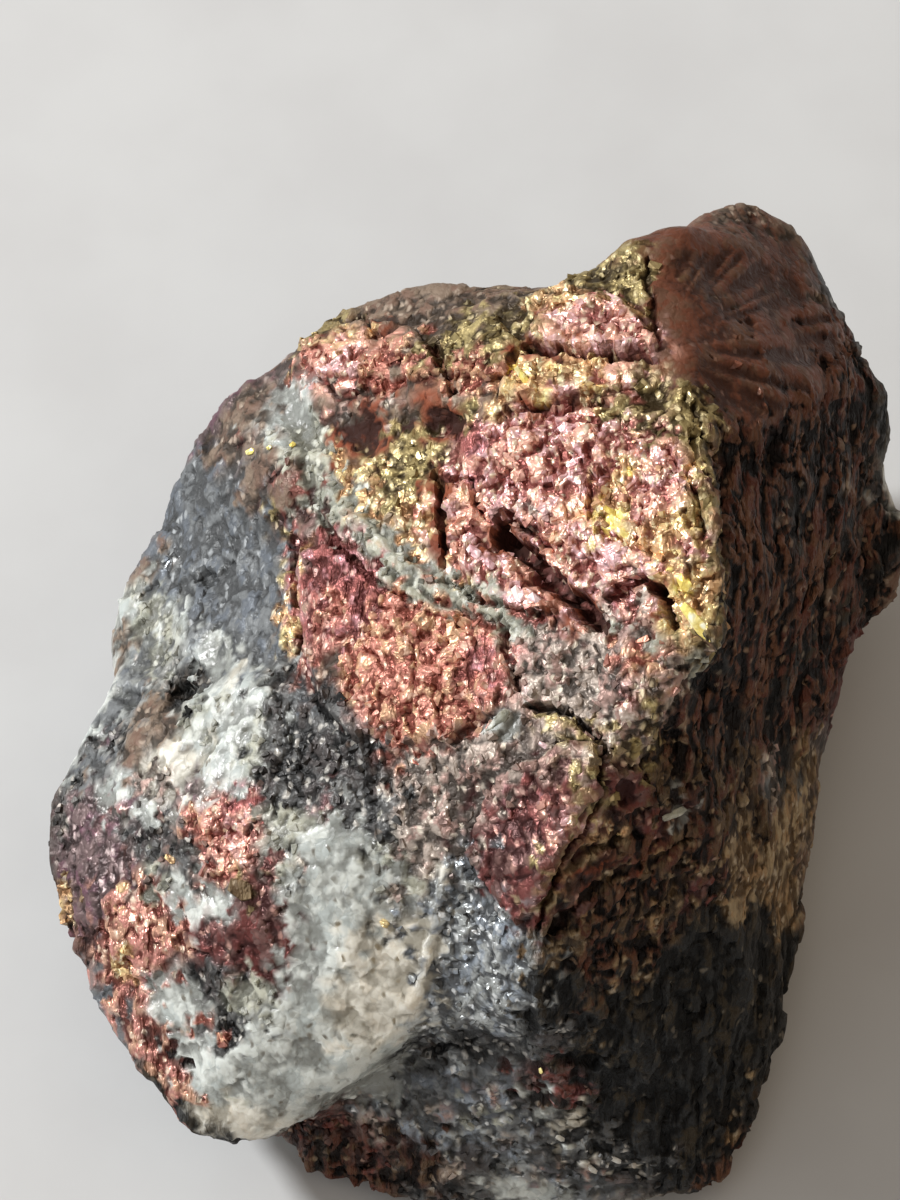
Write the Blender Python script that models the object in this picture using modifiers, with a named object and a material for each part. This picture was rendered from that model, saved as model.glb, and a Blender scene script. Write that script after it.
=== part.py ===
"""Bornite specimen: one natural broken stone about 61 mm long, 57 mm wide and 38 mm high.

The stone is blocked out as a few overlapping lumps. Each lump is the convex hull of the corners where its
break faces meet. The lumps are joined by Boolean unions, roughened like a broken face, and cut flat
underneath, where the stone rests. The frame is metres, +Z up, with the origin on the table under the middle
of the stone's box, +Y away from a viewer who stands in front of it, and +X to that viewer's right.
"""

import math

import bmesh
import bpy
from mathutils import Vector, noise

MM = 0.001

# Corners that show are measured as a viewer sees them: right and up on a picture plane through the aim point,
# square to the sight line, and height above the table. All of these are in millimetres.
SIGHT_TILT = math.radians(62.0)
SIGHT_DISTANCE = 330.0
AIM_HEIGHT = 22.0

# The stone's surface
VOXEL = 0.9
SOFTEN_STEPS = 2
ROUGH_SCALE = 5.5
ROUGH_HEIGHT = 0.4
GRAIN_SCALE = 1.9
GRAIN_HEIGHT = 0.15
NOISE_SEED = Vector((3.7, 11.2, 5.4))
SMOOTH_FOOT = 3.0
KEPT_FACES = 0.22
REST_CUT = 0.45

# Colour of tarnished bornite, for the plain view of the solid
BORNITE_COLOUR = (0.36, 0.17, 0.14, 1.0)
BORNITE_METALLIC = 0.6
BORNITE_ROUGHNESS = 0.45

# Each lump: corners seen by the viewer (right, up, height), then corners out of sight (x, y, z), where x and y
# are measured on the table from the point below the aim point.
LUMPS = {
    "bornite_core": (
        [
            (14.5, 12.0, 36.0),
            (16.6, 5.2, 37.5),
            (16.8, -3.3, 34.5),
            (10.2, -11.5, 32.0),
            (6.3, 20.5, 31.5),
            (1.0, 20.5, 29.5),
            (-3.5, 20.3, 27.0),
            (-7.4, 19.2, 24.5),
            (-10.8, 16.0, 22.5),
            (-15.8, 10.4, 17.5),
            (-18.6, 5.6, 14.5),
            (-21.0, -1.0, 12.5),
            (-5.0, 8.0, 29.0),
            (-4.5, 1.0, 28.5),
            (-9.5, -6.5, 24.0),
            (0.5, -11.0, 29.0),
            (24.0, 19.5, 23.0),
            (28.6, 13.5, 19.5),
            (28.8, 10.8, 17.0),
            (26.4, -3.4, 9.0),
            (24.7, -9.8, 6.5),
        ],
        [
            (22.0, 4.0, 0.0),
            (20.0, 16.0, 0.0),
            (8.0, 19.0, 0.0),
            (-6.0, 17.0, 0.0),
            (-14.0, 8.0, 0.0),
            (-18.0, -4.0, 0.0),
            (-4.0, -16.0, 0.0),
            (20.0, -8.0, 0.0),
            (6.0, 22.0, 12.0),
            (22.0, 20.0, 8.0),
            (-10.0, 18.0, 12.0),
        ],
    ),
    "bright_block": (
        [
            (0.5, 11.8, 33.0),
            (8.0, 13.2, 36.0),
            (15.8, 12.2, 38.5),
            (17.6, 5.2, 39.0),
            (17.6, -2.5, 36.5),
            (13.5, -0.8, 36.0),
            (10.0, 0.2, 34.5),
            (3.5, 5.0, 32.5),
        ],
        [
            (2.0, 0.0, 20.0),
            (14.0, -8.0, 20.0),
            (18.0, 6.0, 20.0),
            (6.0, 10.0, 20.0),
        ],
    ),
    "vein_side_block": (
        [
            (-10.4, 4.6, 24.5),
            (-6.5, 4.8, 28.0),
            (3.0, -1.8, 31.0),
            (4.2, -5.8, 30.5),
            (2.6, -9.3, 28.5),
            (-3.5, -9.6, 26.5),
            (-8.0, -6.0, 23.5),
            (-10.9, -1.0, 22.0),
        ],
        [
            (-8.0, 4.0, 14.0),
            (-8.0, -6.0, 14.0),
            (2.0, -12.0, 14.0),
            (4.0, 0.0, 14.0),
        ],
    ),
    "top_bands": (
        [
            (-10.6, 15.6, 23.5),
            (-8.8, 17.3, 25.0),
            (-3.5, 18.6, 28.5),
            (5.5, 18.3, 33.5),
            (9.2, 20.8, 34.5),
            (12.8, 19.0, 36.5),
            (13.2, 13.8, 37.0),
            (3.0, 13.3, 33.8),
            (-5.0, 13.0, 29.5),
            (-9.0, 12.6, 26.5),
        ],
        [
            (-6.0, 16.0, 10.0),
            (8.0, 20.0, 14.0),
            (10.0, 6.0, 14.0),
            (-8.0, 6.0, 10.0),
        ],
    ),
    "smooth_facet_block": (
        [
            (11.6, 23.5, 35.0),
            (14.8, 24.7, 34.5),
            (8.0, 20.5, 33.0),
            (15.5, 13.0, 38.4),
            (16.6, 10.8, 38.2),
            (20.6, 11.2, 34.5),
            (26.3, 14.0, 26.5),
            (28.5, 13.5, 20.0),
            (25.2, 20.0, 24.0),
            (23.9, 22.1, 24.5),
            (19.0, 23.7, 31.0),
        ],
        [
            (10.0, 24.0, 14.0),
            (22.0, 22.0, 8.0),
            (26.0, 12.0, 6.0),
            (16.0, 0.0, 12.0),
        ],
    ),
    "quartz_lobe": (
        [
            (-26.5, -13.5, 12.0),
            (-25.9, -20.2, 11.0),
            (-22.8, -27.3, 9.5),
            (-19.2, -32.2, 8.5),
            (-17.6, -34.6, 8.0),
            (-14.3, -35.8, 7.5),
            (-11.6, -35.2, 8.5),
            (-9.6, -32.6, 12.0),
            (-6.0, -29.3, 15.5),
            (-1.4, -27.3, 17.5),
            (-0.8, -22.5, 21.0),
            (0.2, -16.5, 25.0),
            (1.5, -11.5, 28.0),
            (-12.0, -5.0, 23.0),
            (-13.0, -13.0, 22.5),
            (-12.5, -20.5, 20.0),
            (-13.0, -27.5, 15.8),
            (-20.0, -19.0, 16.0),
            (-22.2, -4.8, 13.0),
            (-24.6, -9.4, 12.5),
        ],
        [
            (-18.0, -6.0, 0.0),
            (-19.0, -16.0, 0.0),
            (-14.0, -25.0, 0.0),
            (-4.0, -25.0, 0.0),
            (6.0, -14.0, 0.0),
        ],
    ),
    "dark_end": (
        [
            (10.2, -10.5, 32.5),
            (6.2, -21.0, 26.5),
            (6.2, -27.0, 20.5),
            (16.4, -6.0, 31.0),
            (16.8, -21.0, 17.5),
            (24.5, -10.0, 7.0),
            (23.6, -17.0, 6.0),
            (22.7, -21.2, 5.5),
            (21.3, -26.0, 5.0),
            (21.0, -30.4, 4.5),
            (20.4, -34.4, 3.0),
            (2.0, -10.5, 29.0),
            (0.5, -16.0, 23.5),
            (-1.4, -22.0, 18.0),
            (-2.4, -28.0, 14.0),
        ],
        [
            (-2.0, -18.0, 0.0),
            (0.0, -28.0, 0.0),
            (14.0, -31.0, 0.0),
            (19.0, -20.0, 0.0),
            (20.0, -4.0, 0.0),
        ],
    ),
    "maroon_block": (
        [
            (3.8, -6.8, 30.5),
            (6.5, -7.0, 32.0),
            (9.8, -10.6, 32.8),
            (8.2, -14.5, 31.0),
            (6.0, -20.5, 27.4),
            (5.6, -26.0, 22.0),
            (-1.6, -26.5, 16.5),
            (-1.0, -20.0, 21.5),
            (0.6, -13.5, 26.5),
        ],
        [
            (0.0, -14.0, 12.0),
            (10.0, -14.0, 12.0),
            (4.0, -22.0, 10.0),
        ],
    ),
    "front_ledge": (
        [
            (-11.8, -35.0, 2.0),
            (-9.2, -37.3, 2.0),
            (-4.1, -39.2, 2.0),
            (3.3, -40.0, 2.0),
            (11.1, -40.1, 2.0),
            (17.2, -38.8, 2.0),
            (19.4, -36.3, 3.0),
            (-4.5, -31.0, 9.0),
            (1.0, -30.0, 12.5),
            (6.0, -29.8, 14.5),
            (12.0, -31.5, 11.5),
        ],
        [
            (-10.0, -28.0, 0.0),
            (16.0, -24.0, 0.0),
            (-6.0, -18.0, 0.0),
            (14.0, -14.0, 6.0),
        ],
    ),
    "back_tip": (
        [
            (15.5, 24.9, 30.0),
            (17.2, 25.9, 29.0),
            (18.9, 26.4, 28.0),
            (20.8, 25.8, 27.0),
            (22.3, 24.9, 26.0),
            (23.5, 23.4, 24.5),
            (24.3, 21.6, 23.0),
            (15.0, 22.0, 34.0),
        ],
        [
            (12.0, 20.0, 12.0),
            (20.0, 22.0, 12.0),
            (16.0, 12.0, 20.0),
            (22.0, 12.0, 14.0),
        ],
    ),
    "right_knob": (
        [
            (27.8, 8.9, 15.5),
            (29.0, 7.2, 13.5),
            (29.9, 5.4, 12.5),
            (30.4, 2.6, 11.0),
            (29.6, 0.2, 9.0),
            (27.1, -1.8, 8.0),
            (24.5, 4.0, 17.0),
            (24.0, -2.0, 12.0),
        ],
        [
            (24.0, 4.0, 2.0),
            (26.0, 10.0, 4.0),
            (18.0, 8.0, 10.0),
        ],
    ),
    "left_shoulder": (
        [
            (-19.3, 3.8, 13.0),
            (-21.7, 0.5, 12.0),
            (-22.5, -2.2, 11.0),
            (-22.0, -5.0, 11.5),
            (-16.0, 2.0, 18.0),
            (-16.0, -4.0, 18.5),
        ],
        [
            (-17.0, 4.0, 4.0),
            (-18.0, -4.0, 2.0),
            (-8.0, 0.0, 8.0),
        ],
    ),
    "left_crown": (
        [
            (-16.0, 12.1, 19.0),
            (-14.4, 14.1, 20.0),
            (-11.8, 14.6, 21.0),
            (-17.0, 9.8, 17.0),
            (-18.9, 6.6, 14.5),
            (-19.1, 4.2, 13.5),
            (-10.0, 9.0, 26.5),
            (-10.5, 6.0, 25.5),
        ],
        [
            (-12.0, 14.0, 6.0),
            (-16.0, 8.0, 4.0),
            (-4.0, 8.0, 10.0),
        ],
    ),
}


def seen_corner(right: float, up: float, height: float) -> Vector:
    """The point of that height on the viewer's ray through (right, up) on the picture plane."""
    aim = Vector((0.0, 0.0, AIM_HEIGHT))
    eye = aim + SIGHT_DISTANCE * Vector((0.0, -math.cos(SIGHT_TILT), math.sin(SIGHT_TILT)))
    on_plane = aim + Vector((right, up * math.sin(SIGHT_TILT), up * math.cos(SIGHT_TILT)))
    along = (height - eye.z) / (on_plane.z - eye.z)
    return eye.lerp(on_plane, along)


def make_lump(name, seen, hidden, collection):
    """The convex hull of one lump's corners, as an object in metres."""
    corners = [seen_corner(*corner) for corner in seen] + [Vector(corner) for corner in hidden]
    mesh = bpy.data.meshes.new(name)
    shell = bmesh.new()
    for corner in corners:
        shell.verts.new(corner * MM)
    hull = bmesh.ops.convex_hull(shell, input=shell.verts)
    inside = [item for item in hull["geom_interior"] if isinstance(item, bmesh.types.BMVert)]
    bmesh.ops.delete(shell, geom=inside, context="VERTS")
    bmesh.ops.recalc_face_normals(shell, faces=shell.faces)
    shell.to_mesh(mesh)
    shell.free()
    lump = bpy.data.objects.new(name, mesh)
    collection.objects.link(lump)
    return lump


def add_cutter_look(obj):
    """A helper shape: left out of the render and drawn as a wire."""
    obj.hide_render = True
    obj.display_type = "WIRE"


def evaluated_mesh(obj):
    """A new mesh with the object's modifiers applied."""
    bpy.context.view_layer.update()
    graph = bpy.context.evaluated_depsgraph_get()
    return bpy.data.meshes.new_from_object(obj.evaluated_get(graph))


def roughness_at(point: Vector) -> float:
    """Height of the broken surface at a point, in millimetres: chips and a finer grain, none underneath."""
    chips = noise.multi_fractal(point / ROUGH_SCALE + NOISE_SEED, 0.9, 2.0, 3) - 1.0
    grain = noise.noise(point / GRAIN_SCALE + NOISE_SEED)
    above_foot = max(0.0, min(1.0, point.z / SMOOTH_FOOT))
    return (max(-1.0, min(1.0, chips)) * ROUGH_HEIGHT + grain * GRAIN_HEIGHT) * above_foot


def roughen(mesh):
    """Moves each point along its normal by the broken surface's height."""
    normals = [vertex.normal.copy() for vertex in mesh.vertices]
    for vertex, normal in zip(mesh.vertices, normals):
        vertex.co += normal * (roughness_at(vertex.co / MM) * MM)


def rest_flat(mesh):
    """Cuts the underside level, moves the cut to the table and centres the stone's box over the origin."""
    stone = bmesh.new()
    stone.from_mesh(mesh)
    lowest = min(vertex.co.z for vertex in stone.verts)
    level = lowest + REST_CUT * MM
    everything = stone.verts[:] + stone.edges[:] + stone.faces[:]
    cut = bmesh.ops.bisect_plane(
        stone, geom=everything, plane_co=(0, 0, level), plane_no=(0, 0, 1), clear_inner=True
    )
    rim = [item for item in cut["geom_cut"] if isinstance(item, bmesh.types.BMEdge)]
    bmesh.ops.contextual_create(stone, geom=rim)
    bmesh.ops.triangulate(stone, faces=stone.faces)
    bmesh.ops.recalc_face_normals(stone, faces=stone.faces)
    low = Vector(min(vertex.co[axis] for vertex in stone.verts) for axis in range(3))
    high = Vector(max(vertex.co[axis] for vertex in stone.verts) for axis in range(3))
    shift = Vector((-(low.x + high.x) / 2, -(low.y + high.y) / 2, -low.z))
    bmesh.ops.translate(stone, verts=stone.verts, vec=shift)
    stone.to_mesh(mesh)
    stone.free()
    print("shift of the stone in mm:", [round(value / MM, 3) for value in shift])


def bornite_material():
    material = bpy.data.materials.new("bornite")
    material.use_nodes = True
    shader = material.node_tree.nodes["Principled BSDF"]
    shader.inputs["Base Color"].default_value = BORNITE_COLOUR
    shader.inputs["Metallic"].default_value = BORNITE_METALLIC
    shader.inputs["Roughness"].default_value = BORNITE_ROUGHNESS
    return material


def main():
    for old in list(bpy.data.objects):
        bpy.data.objects.remove(old)
    scene = bpy.context.scene
    parts = bpy.data.collections.new("bornite_specimen")
    helpers = bpy.data.collections.new("lumps")
    scene.collection.children.link(parts)
    scene.collection.children.link(helpers)

    core, *others = [make_lump(name, *corners, helpers) for name, corners in LUMPS.items()]
    for lump in others:
        union = core.modifiers.new(lump.name, "BOOLEAN")
        union.operation = "UNION"
        union.object = lump
    fuse = core.modifiers.new("fuse", "REMESH")
    fuse.mode = "VOXEL"
    fuse.voxel_size = VOXEL * MM
    soften = core.modifiers.new("soften", "SMOOTH")
    soften.factor = 0.5
    soften.iterations = SOFTEN_STEPS
    blocked = evaluated_mesh(core)
    for lump in (core, *others):
        add_cutter_look(lump)

    roughen(blocked)
    stone = bpy.data.objects.new("bornite_specimen", blocked)
    parts.objects.link(stone)
    thin = stone.modifiers.new("thin", "DECIMATE")
    thin.ratio = KEPT_FACES
    stone.data = evaluated_mesh(stone)
    stone.modifiers.remove(stone.modifiers["thin"])
    rest_flat(stone.data)
    stone.data.materials.append(bornite_material())


main()
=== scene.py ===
"""Looks of a broken bornite specimen: tarnished copper ore grown together with quartz and grey sulphide.

Lengths in the tables are millimetres, and places named "picture points" are points of the 900 by 1200 frame
that the camera takes in. Meshes and nodes are in metres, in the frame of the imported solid.
"""

from __future__ import annotations

import itertools
import logging
import math
import time
from dataclasses import dataclass, field, fields
from enum import Enum
from typing import Any

import bpy
import numpy as np
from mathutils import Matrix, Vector
from mathutils.bvhtree import BVHTree


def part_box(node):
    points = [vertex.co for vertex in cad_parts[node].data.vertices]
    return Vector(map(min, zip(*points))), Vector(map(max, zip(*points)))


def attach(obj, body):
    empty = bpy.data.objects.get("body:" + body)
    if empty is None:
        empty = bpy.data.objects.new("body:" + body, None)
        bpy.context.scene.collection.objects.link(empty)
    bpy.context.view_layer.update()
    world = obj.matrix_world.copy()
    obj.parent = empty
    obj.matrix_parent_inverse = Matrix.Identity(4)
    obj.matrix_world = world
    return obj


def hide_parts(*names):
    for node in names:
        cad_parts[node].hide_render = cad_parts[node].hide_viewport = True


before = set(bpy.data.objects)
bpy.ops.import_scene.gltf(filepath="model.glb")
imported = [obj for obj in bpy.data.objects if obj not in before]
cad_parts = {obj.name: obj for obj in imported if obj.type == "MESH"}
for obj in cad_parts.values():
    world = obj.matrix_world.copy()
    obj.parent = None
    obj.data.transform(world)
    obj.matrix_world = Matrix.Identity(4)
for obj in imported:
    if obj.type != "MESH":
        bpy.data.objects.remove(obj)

MM = 0.001
Colour = tuple[float, float, float]
PicturePoint = tuple[float, float]

log = logging.getLogger("bornite")


# Noise on points in space, all in millimetres

# Large odd numbers that spread a cell's place and a salt over 64 bits, and the three parts read from those
AXIS_FACTORS = (0x9E3779B97F4A7C15, 0xC2B2AE3D27D4EB4F, 0x165667B19E3779F9)
MIX_FACTOR = 0xD6E8FEB86659FD93
SALT_FACTOR = 0x27D4EB2F
SALT_START = 977
PART_RANGE = 2**20
PART_SHIFTS = (0, 21, 42)

# How much weaker each finer noise is than the last, what their sum is divided by, and the step between salts
OCTAVE_FADE = 1.8
OCTAVE_DIVISOR = 1.3
OCTAVE_SALT = 31

# A shard's middle stays this far from its cell's sides, in parts of the cell, and its traits have their own salt
SHARD_MARGIN = 0.1
SHARD_SALT = 5


def scramble(cells: np.ndarray, salt: int) -> np.ndarray:
    """Three steady random numbers for each whole-number cell of space.

    Args:
        cells: whole-number cell corners, one row of three for each point.
        salt: picks one of many unlike sets of numbers.

    Returns:
        Three numbers from 0 to 1 for each row.
    """
    keys = cells.astype(np.int64).view(np.uint64)
    first, second, third = (keys[:, axis] * np.uint64(factor) for axis, factor in enumerate(AXIS_FACTORS))
    mixed = first + second + third + np.uint64(salt * SALT_FACTOR + SALT_START)
    for _ in range(2):
        mixed ^= mixed >> np.uint64(31)
        mixed *= np.uint64(MIX_FACTOR)
    mixed ^= mixed >> np.uint64(32)
    parts = [(mixed >> np.uint64(shift)) & np.uint64(PART_RANGE - 1) for shift in PART_SHIFTS]
    return np.stack(parts, axis=1) / float(PART_RANGE)


def soft_noise(points: np.ndarray, size: float, salt: int) -> np.ndarray:
    """Three smooth noises at once.

    Args:
        points: one row of three for each point.
        size: how far apart the lumps are.
        salt: picks one of many unlike noises.

    Returns:
        Three numbers from -1 to 1 for each point.
    """
    spots = points / size
    corner = np.floor(spots)
    part = spots - corner
    part = part * part * (3.0 - 2.0 * part)
    total = np.zeros((len(points), 3))
    for step in itertools.product((0, 1), repeat=3):
        share = np.prod(np.where(step, part, 1.0 - part), axis=1)
        total += share[:, None] * scramble(corner + step, salt)
    return total * 2.0 - 1.0


def clouds(points: np.ndarray, size: float, salt: int, octaves: int = 3) -> np.ndarray:
    """Three smooth noises, with finer and finer detail.

    Args:
        points: one row of three for each point.
        size: how far apart the largest lumps are.
        salt: picks one of many unlike noises.
        octaves: how many sizes are added, each half the last.

    Returns:
        Three numbers, mostly from -1 to 1, for each point.
    """
    total = np.zeros((len(points), 3))
    for octave in range(octaves):
        total += soft_noise(points, size / 2**octave, salt + OCTAVE_SALT * octave) / OCTAVE_FADE**octave
    return total / OCTAVE_DIVISOR


def warp(points: np.ndarray, size: float, reach: float, salt: int) -> np.ndarray:
    """The points, each moved by smooth noise of that size, up to about reach along each axis."""
    return points + reach * clouds(points, size, salt, 2)


def shards(points: np.ndarray, size: float, salt: int) -> tuple[np.ndarray, np.ndarray]:
    """The shard that each point falls in, when space is broken into irregular shards.

    Args:
        points: one row of three for each point.
        size: how wide a shard is.
        salt: picks one of many unlike breakages.

    Returns:
        Each point's offset from its shard's middle, in parts of the size, and the shard's random numbers.
    """
    spots = points / size
    home = np.floor(spots)
    nearest = np.full(len(points), np.inf)
    offset = np.zeros((len(points), 3))
    owner = home.copy()
    for step in itertools.product((-1, 0, 1), repeat=3):
        cell = home + step
        gap = spots - cell - SHARD_MARGIN - (1.0 - 2.0 * SHARD_MARGIN) * scramble(cell, salt)
        distance = (gap**2).sum(1)
        closer = distance < nearest
        nearest[closer] = distance[closer]
        offset[closer] = gap[closer]
        owner[closer] = cell[closer]
    return offset, scramble(owner, salt + SHARD_SALT)


def facets(points: np.ndarray, size: float, salt: int, level: float = 0.5) -> np.ndarray:
    """Heights of a surface broken into small flat faces, each tilted its own way and set at its own level.

    Args:
        points: one row of three for each point.
        size: how wide a face is.
        salt: picks one of many unlike surfaces.
        level: how much of the height is the faces' levels, and not their tilt.

    Returns:
        One height for each point, mostly from -1 to 1.
    """
    offset, traits = shards(points, size, salt)
    tilt = traits * 2.0 - 1.0
    return (1.0 - level) * 1.6 * (offset * tilt).sum(1) + level * (tilt[:, 0] + tilt[:, 1]) * 0.5


def ramp(value: np.ndarray, low: float, high: float) -> np.ndarray:
    """0 below low, 1 above high, and smooth between them."""
    part = np.clip((value - low) / (high - low), 0.0, 1.0)
    return part * part * (3.0 - 2.0 * part)


# The viewpoint


@dataclass(frozen=True)
class Sight:
    """The photograph's viewpoint, which ties its picture points to places on the stone."""

    aim: tuple[float, float, float] = (-2.236, 3.652, 21.551)
    elevation: float = 62.0
    distance: float = 330.0
    point_size: float = 0.065
    middle: PicturePoint = (450.0, 600.0)
    frame_height: float = 1200.0
    sensor: float = 36.0

    @property
    def back(self) -> np.ndarray:
        """The direction from the stone to the camera."""
        tilt = math.radians(self.elevation)
        return np.array([0.0, -math.cos(tilt), math.sin(tilt)])

    @property
    def up(self) -> np.ndarray:
        """The direction in space that is upward in the picture."""
        tilt = math.radians(self.elevation)
        return np.array([0.0, math.sin(tilt), math.cos(tilt)])

    @property
    def eye(self) -> np.ndarray:
        """Where the camera is."""
        return np.array(self.aim) + self.distance * self.back

    def picture(self, points: np.ndarray) -> np.ndarray:
        """The picture point of each point in space."""
        reach = points - self.eye
        scale = self.distance / -(reach @ self.back) / self.point_size
        across = self.middle[0] + reach[:, 0] * scale
        down = self.middle[1] - (reach @ self.up) * scale
        return np.stack([across, down], axis=1)

    def ray(self, spot: PicturePoint) -> np.ndarray:
        """The direction in which the camera sees a picture point."""
        right = (spot[0] - self.middle[0]) * self.point_size
        rise = (self.middle[1] - spot[1]) * self.point_size
        way = -self.distance * self.back + right * np.array([1.0, 0.0, 0.0]) + rise * self.up
        return way / np.linalg.norm(way)

    def make_camera(self) -> bpy.types.Object:
        """Adds the camera and makes it the scene's."""
        bpy.ops.object.camera_add(location=Vector(self.eye * MM))
        camera = bpy.context.object
        camera.name = "camera"
        camera.rotation_mode = "QUATERNION"
        camera.rotation_quaternion = (-Vector(self.back)).to_track_quat("-Z", "Y")
        camera.data.sensor_width = self.sensor
        camera.data.lens = self.sensor * self.distance / (self.frame_height * self.point_size)
        camera.data.clip_start = 0.01
        camera.data.clip_end = 5.0
        bpy.context.scene.camera = camera
        return camera


# What the stone is made of


@dataclass(frozen=True)
class Relief:
    """How a mineral breaks, in millimetres of height.

    Coarse and middle are the heights of faces of two sizes, crease and fibre those of fine valleys and strands,
    and bump scales the finest grain, which only the material has.
    """

    coarse: float
    middle: float
    crease: float
    fibre: float
    bump: float


HACKLY = Relief(coarse=0.28, middle=0.32, crease=0.15, fibre=0.02, bump=1.0)
STRANDED = Relief(coarse=0.20, middle=0.14, crease=0.08, fibre=0.20, bump=1.0)
RIBBED = Relief(coarse=0.24, middle=0.12, crease=0.12, fibre=0.50, bump=1.2)
STREAKY = Relief(coarse=0.30, middle=0.04, crease=0.07, fibre=0.42, bump=1.0)
GRAINY = Relief(coarse=0.18, middle=0.18, crease=0.08, fibre=0.03, bump=0.8)
DUSTY = Relief(coarse=0.20, middle=0.12, crease=0.06, fibre=0.02, bump=0.5)
SMOOTH = Relief(coarse=0.05, middle=0.03, crease=0.01, fibre=0.04, bump=0.35)
GLASSY = Relief(coarse=0.14, middle=0.05, crease=0.02, fibre=0.0, bump=0.25)


@dataclass(frozen=True)
class Finish:
    """One mineral's colours, shine and break.

    Tone runs from dark to light, and the material also darkens creases and cracks towards the dark colour as
    painted shade. Tint colours broad patches, and sparkle is the share of grains that have the spark colour, a
    painted glint on the ores and greys and a dark speck in the quartz.
    """

    dark: Colour
    light: Colour
    tint: Colour
    spark: Colour
    relief: Relief
    metallic: float = 0.5
    roughness: float = 0.46
    sparkle: float = 0.15
    glassy: float = 0.0

    def traits(self) -> dict[str, np.ndarray]:
        """All the finish's numbers by name, those of its relief among them."""
        own = {trait.name: getattr(self, trait.name) for trait in fields(self) if trait.name != "relief"}
        every = {**own, **vars(self.relief)}
        return {name: np.atleast_1d(np.array(value, float)) for name, value in every.items()}


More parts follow.
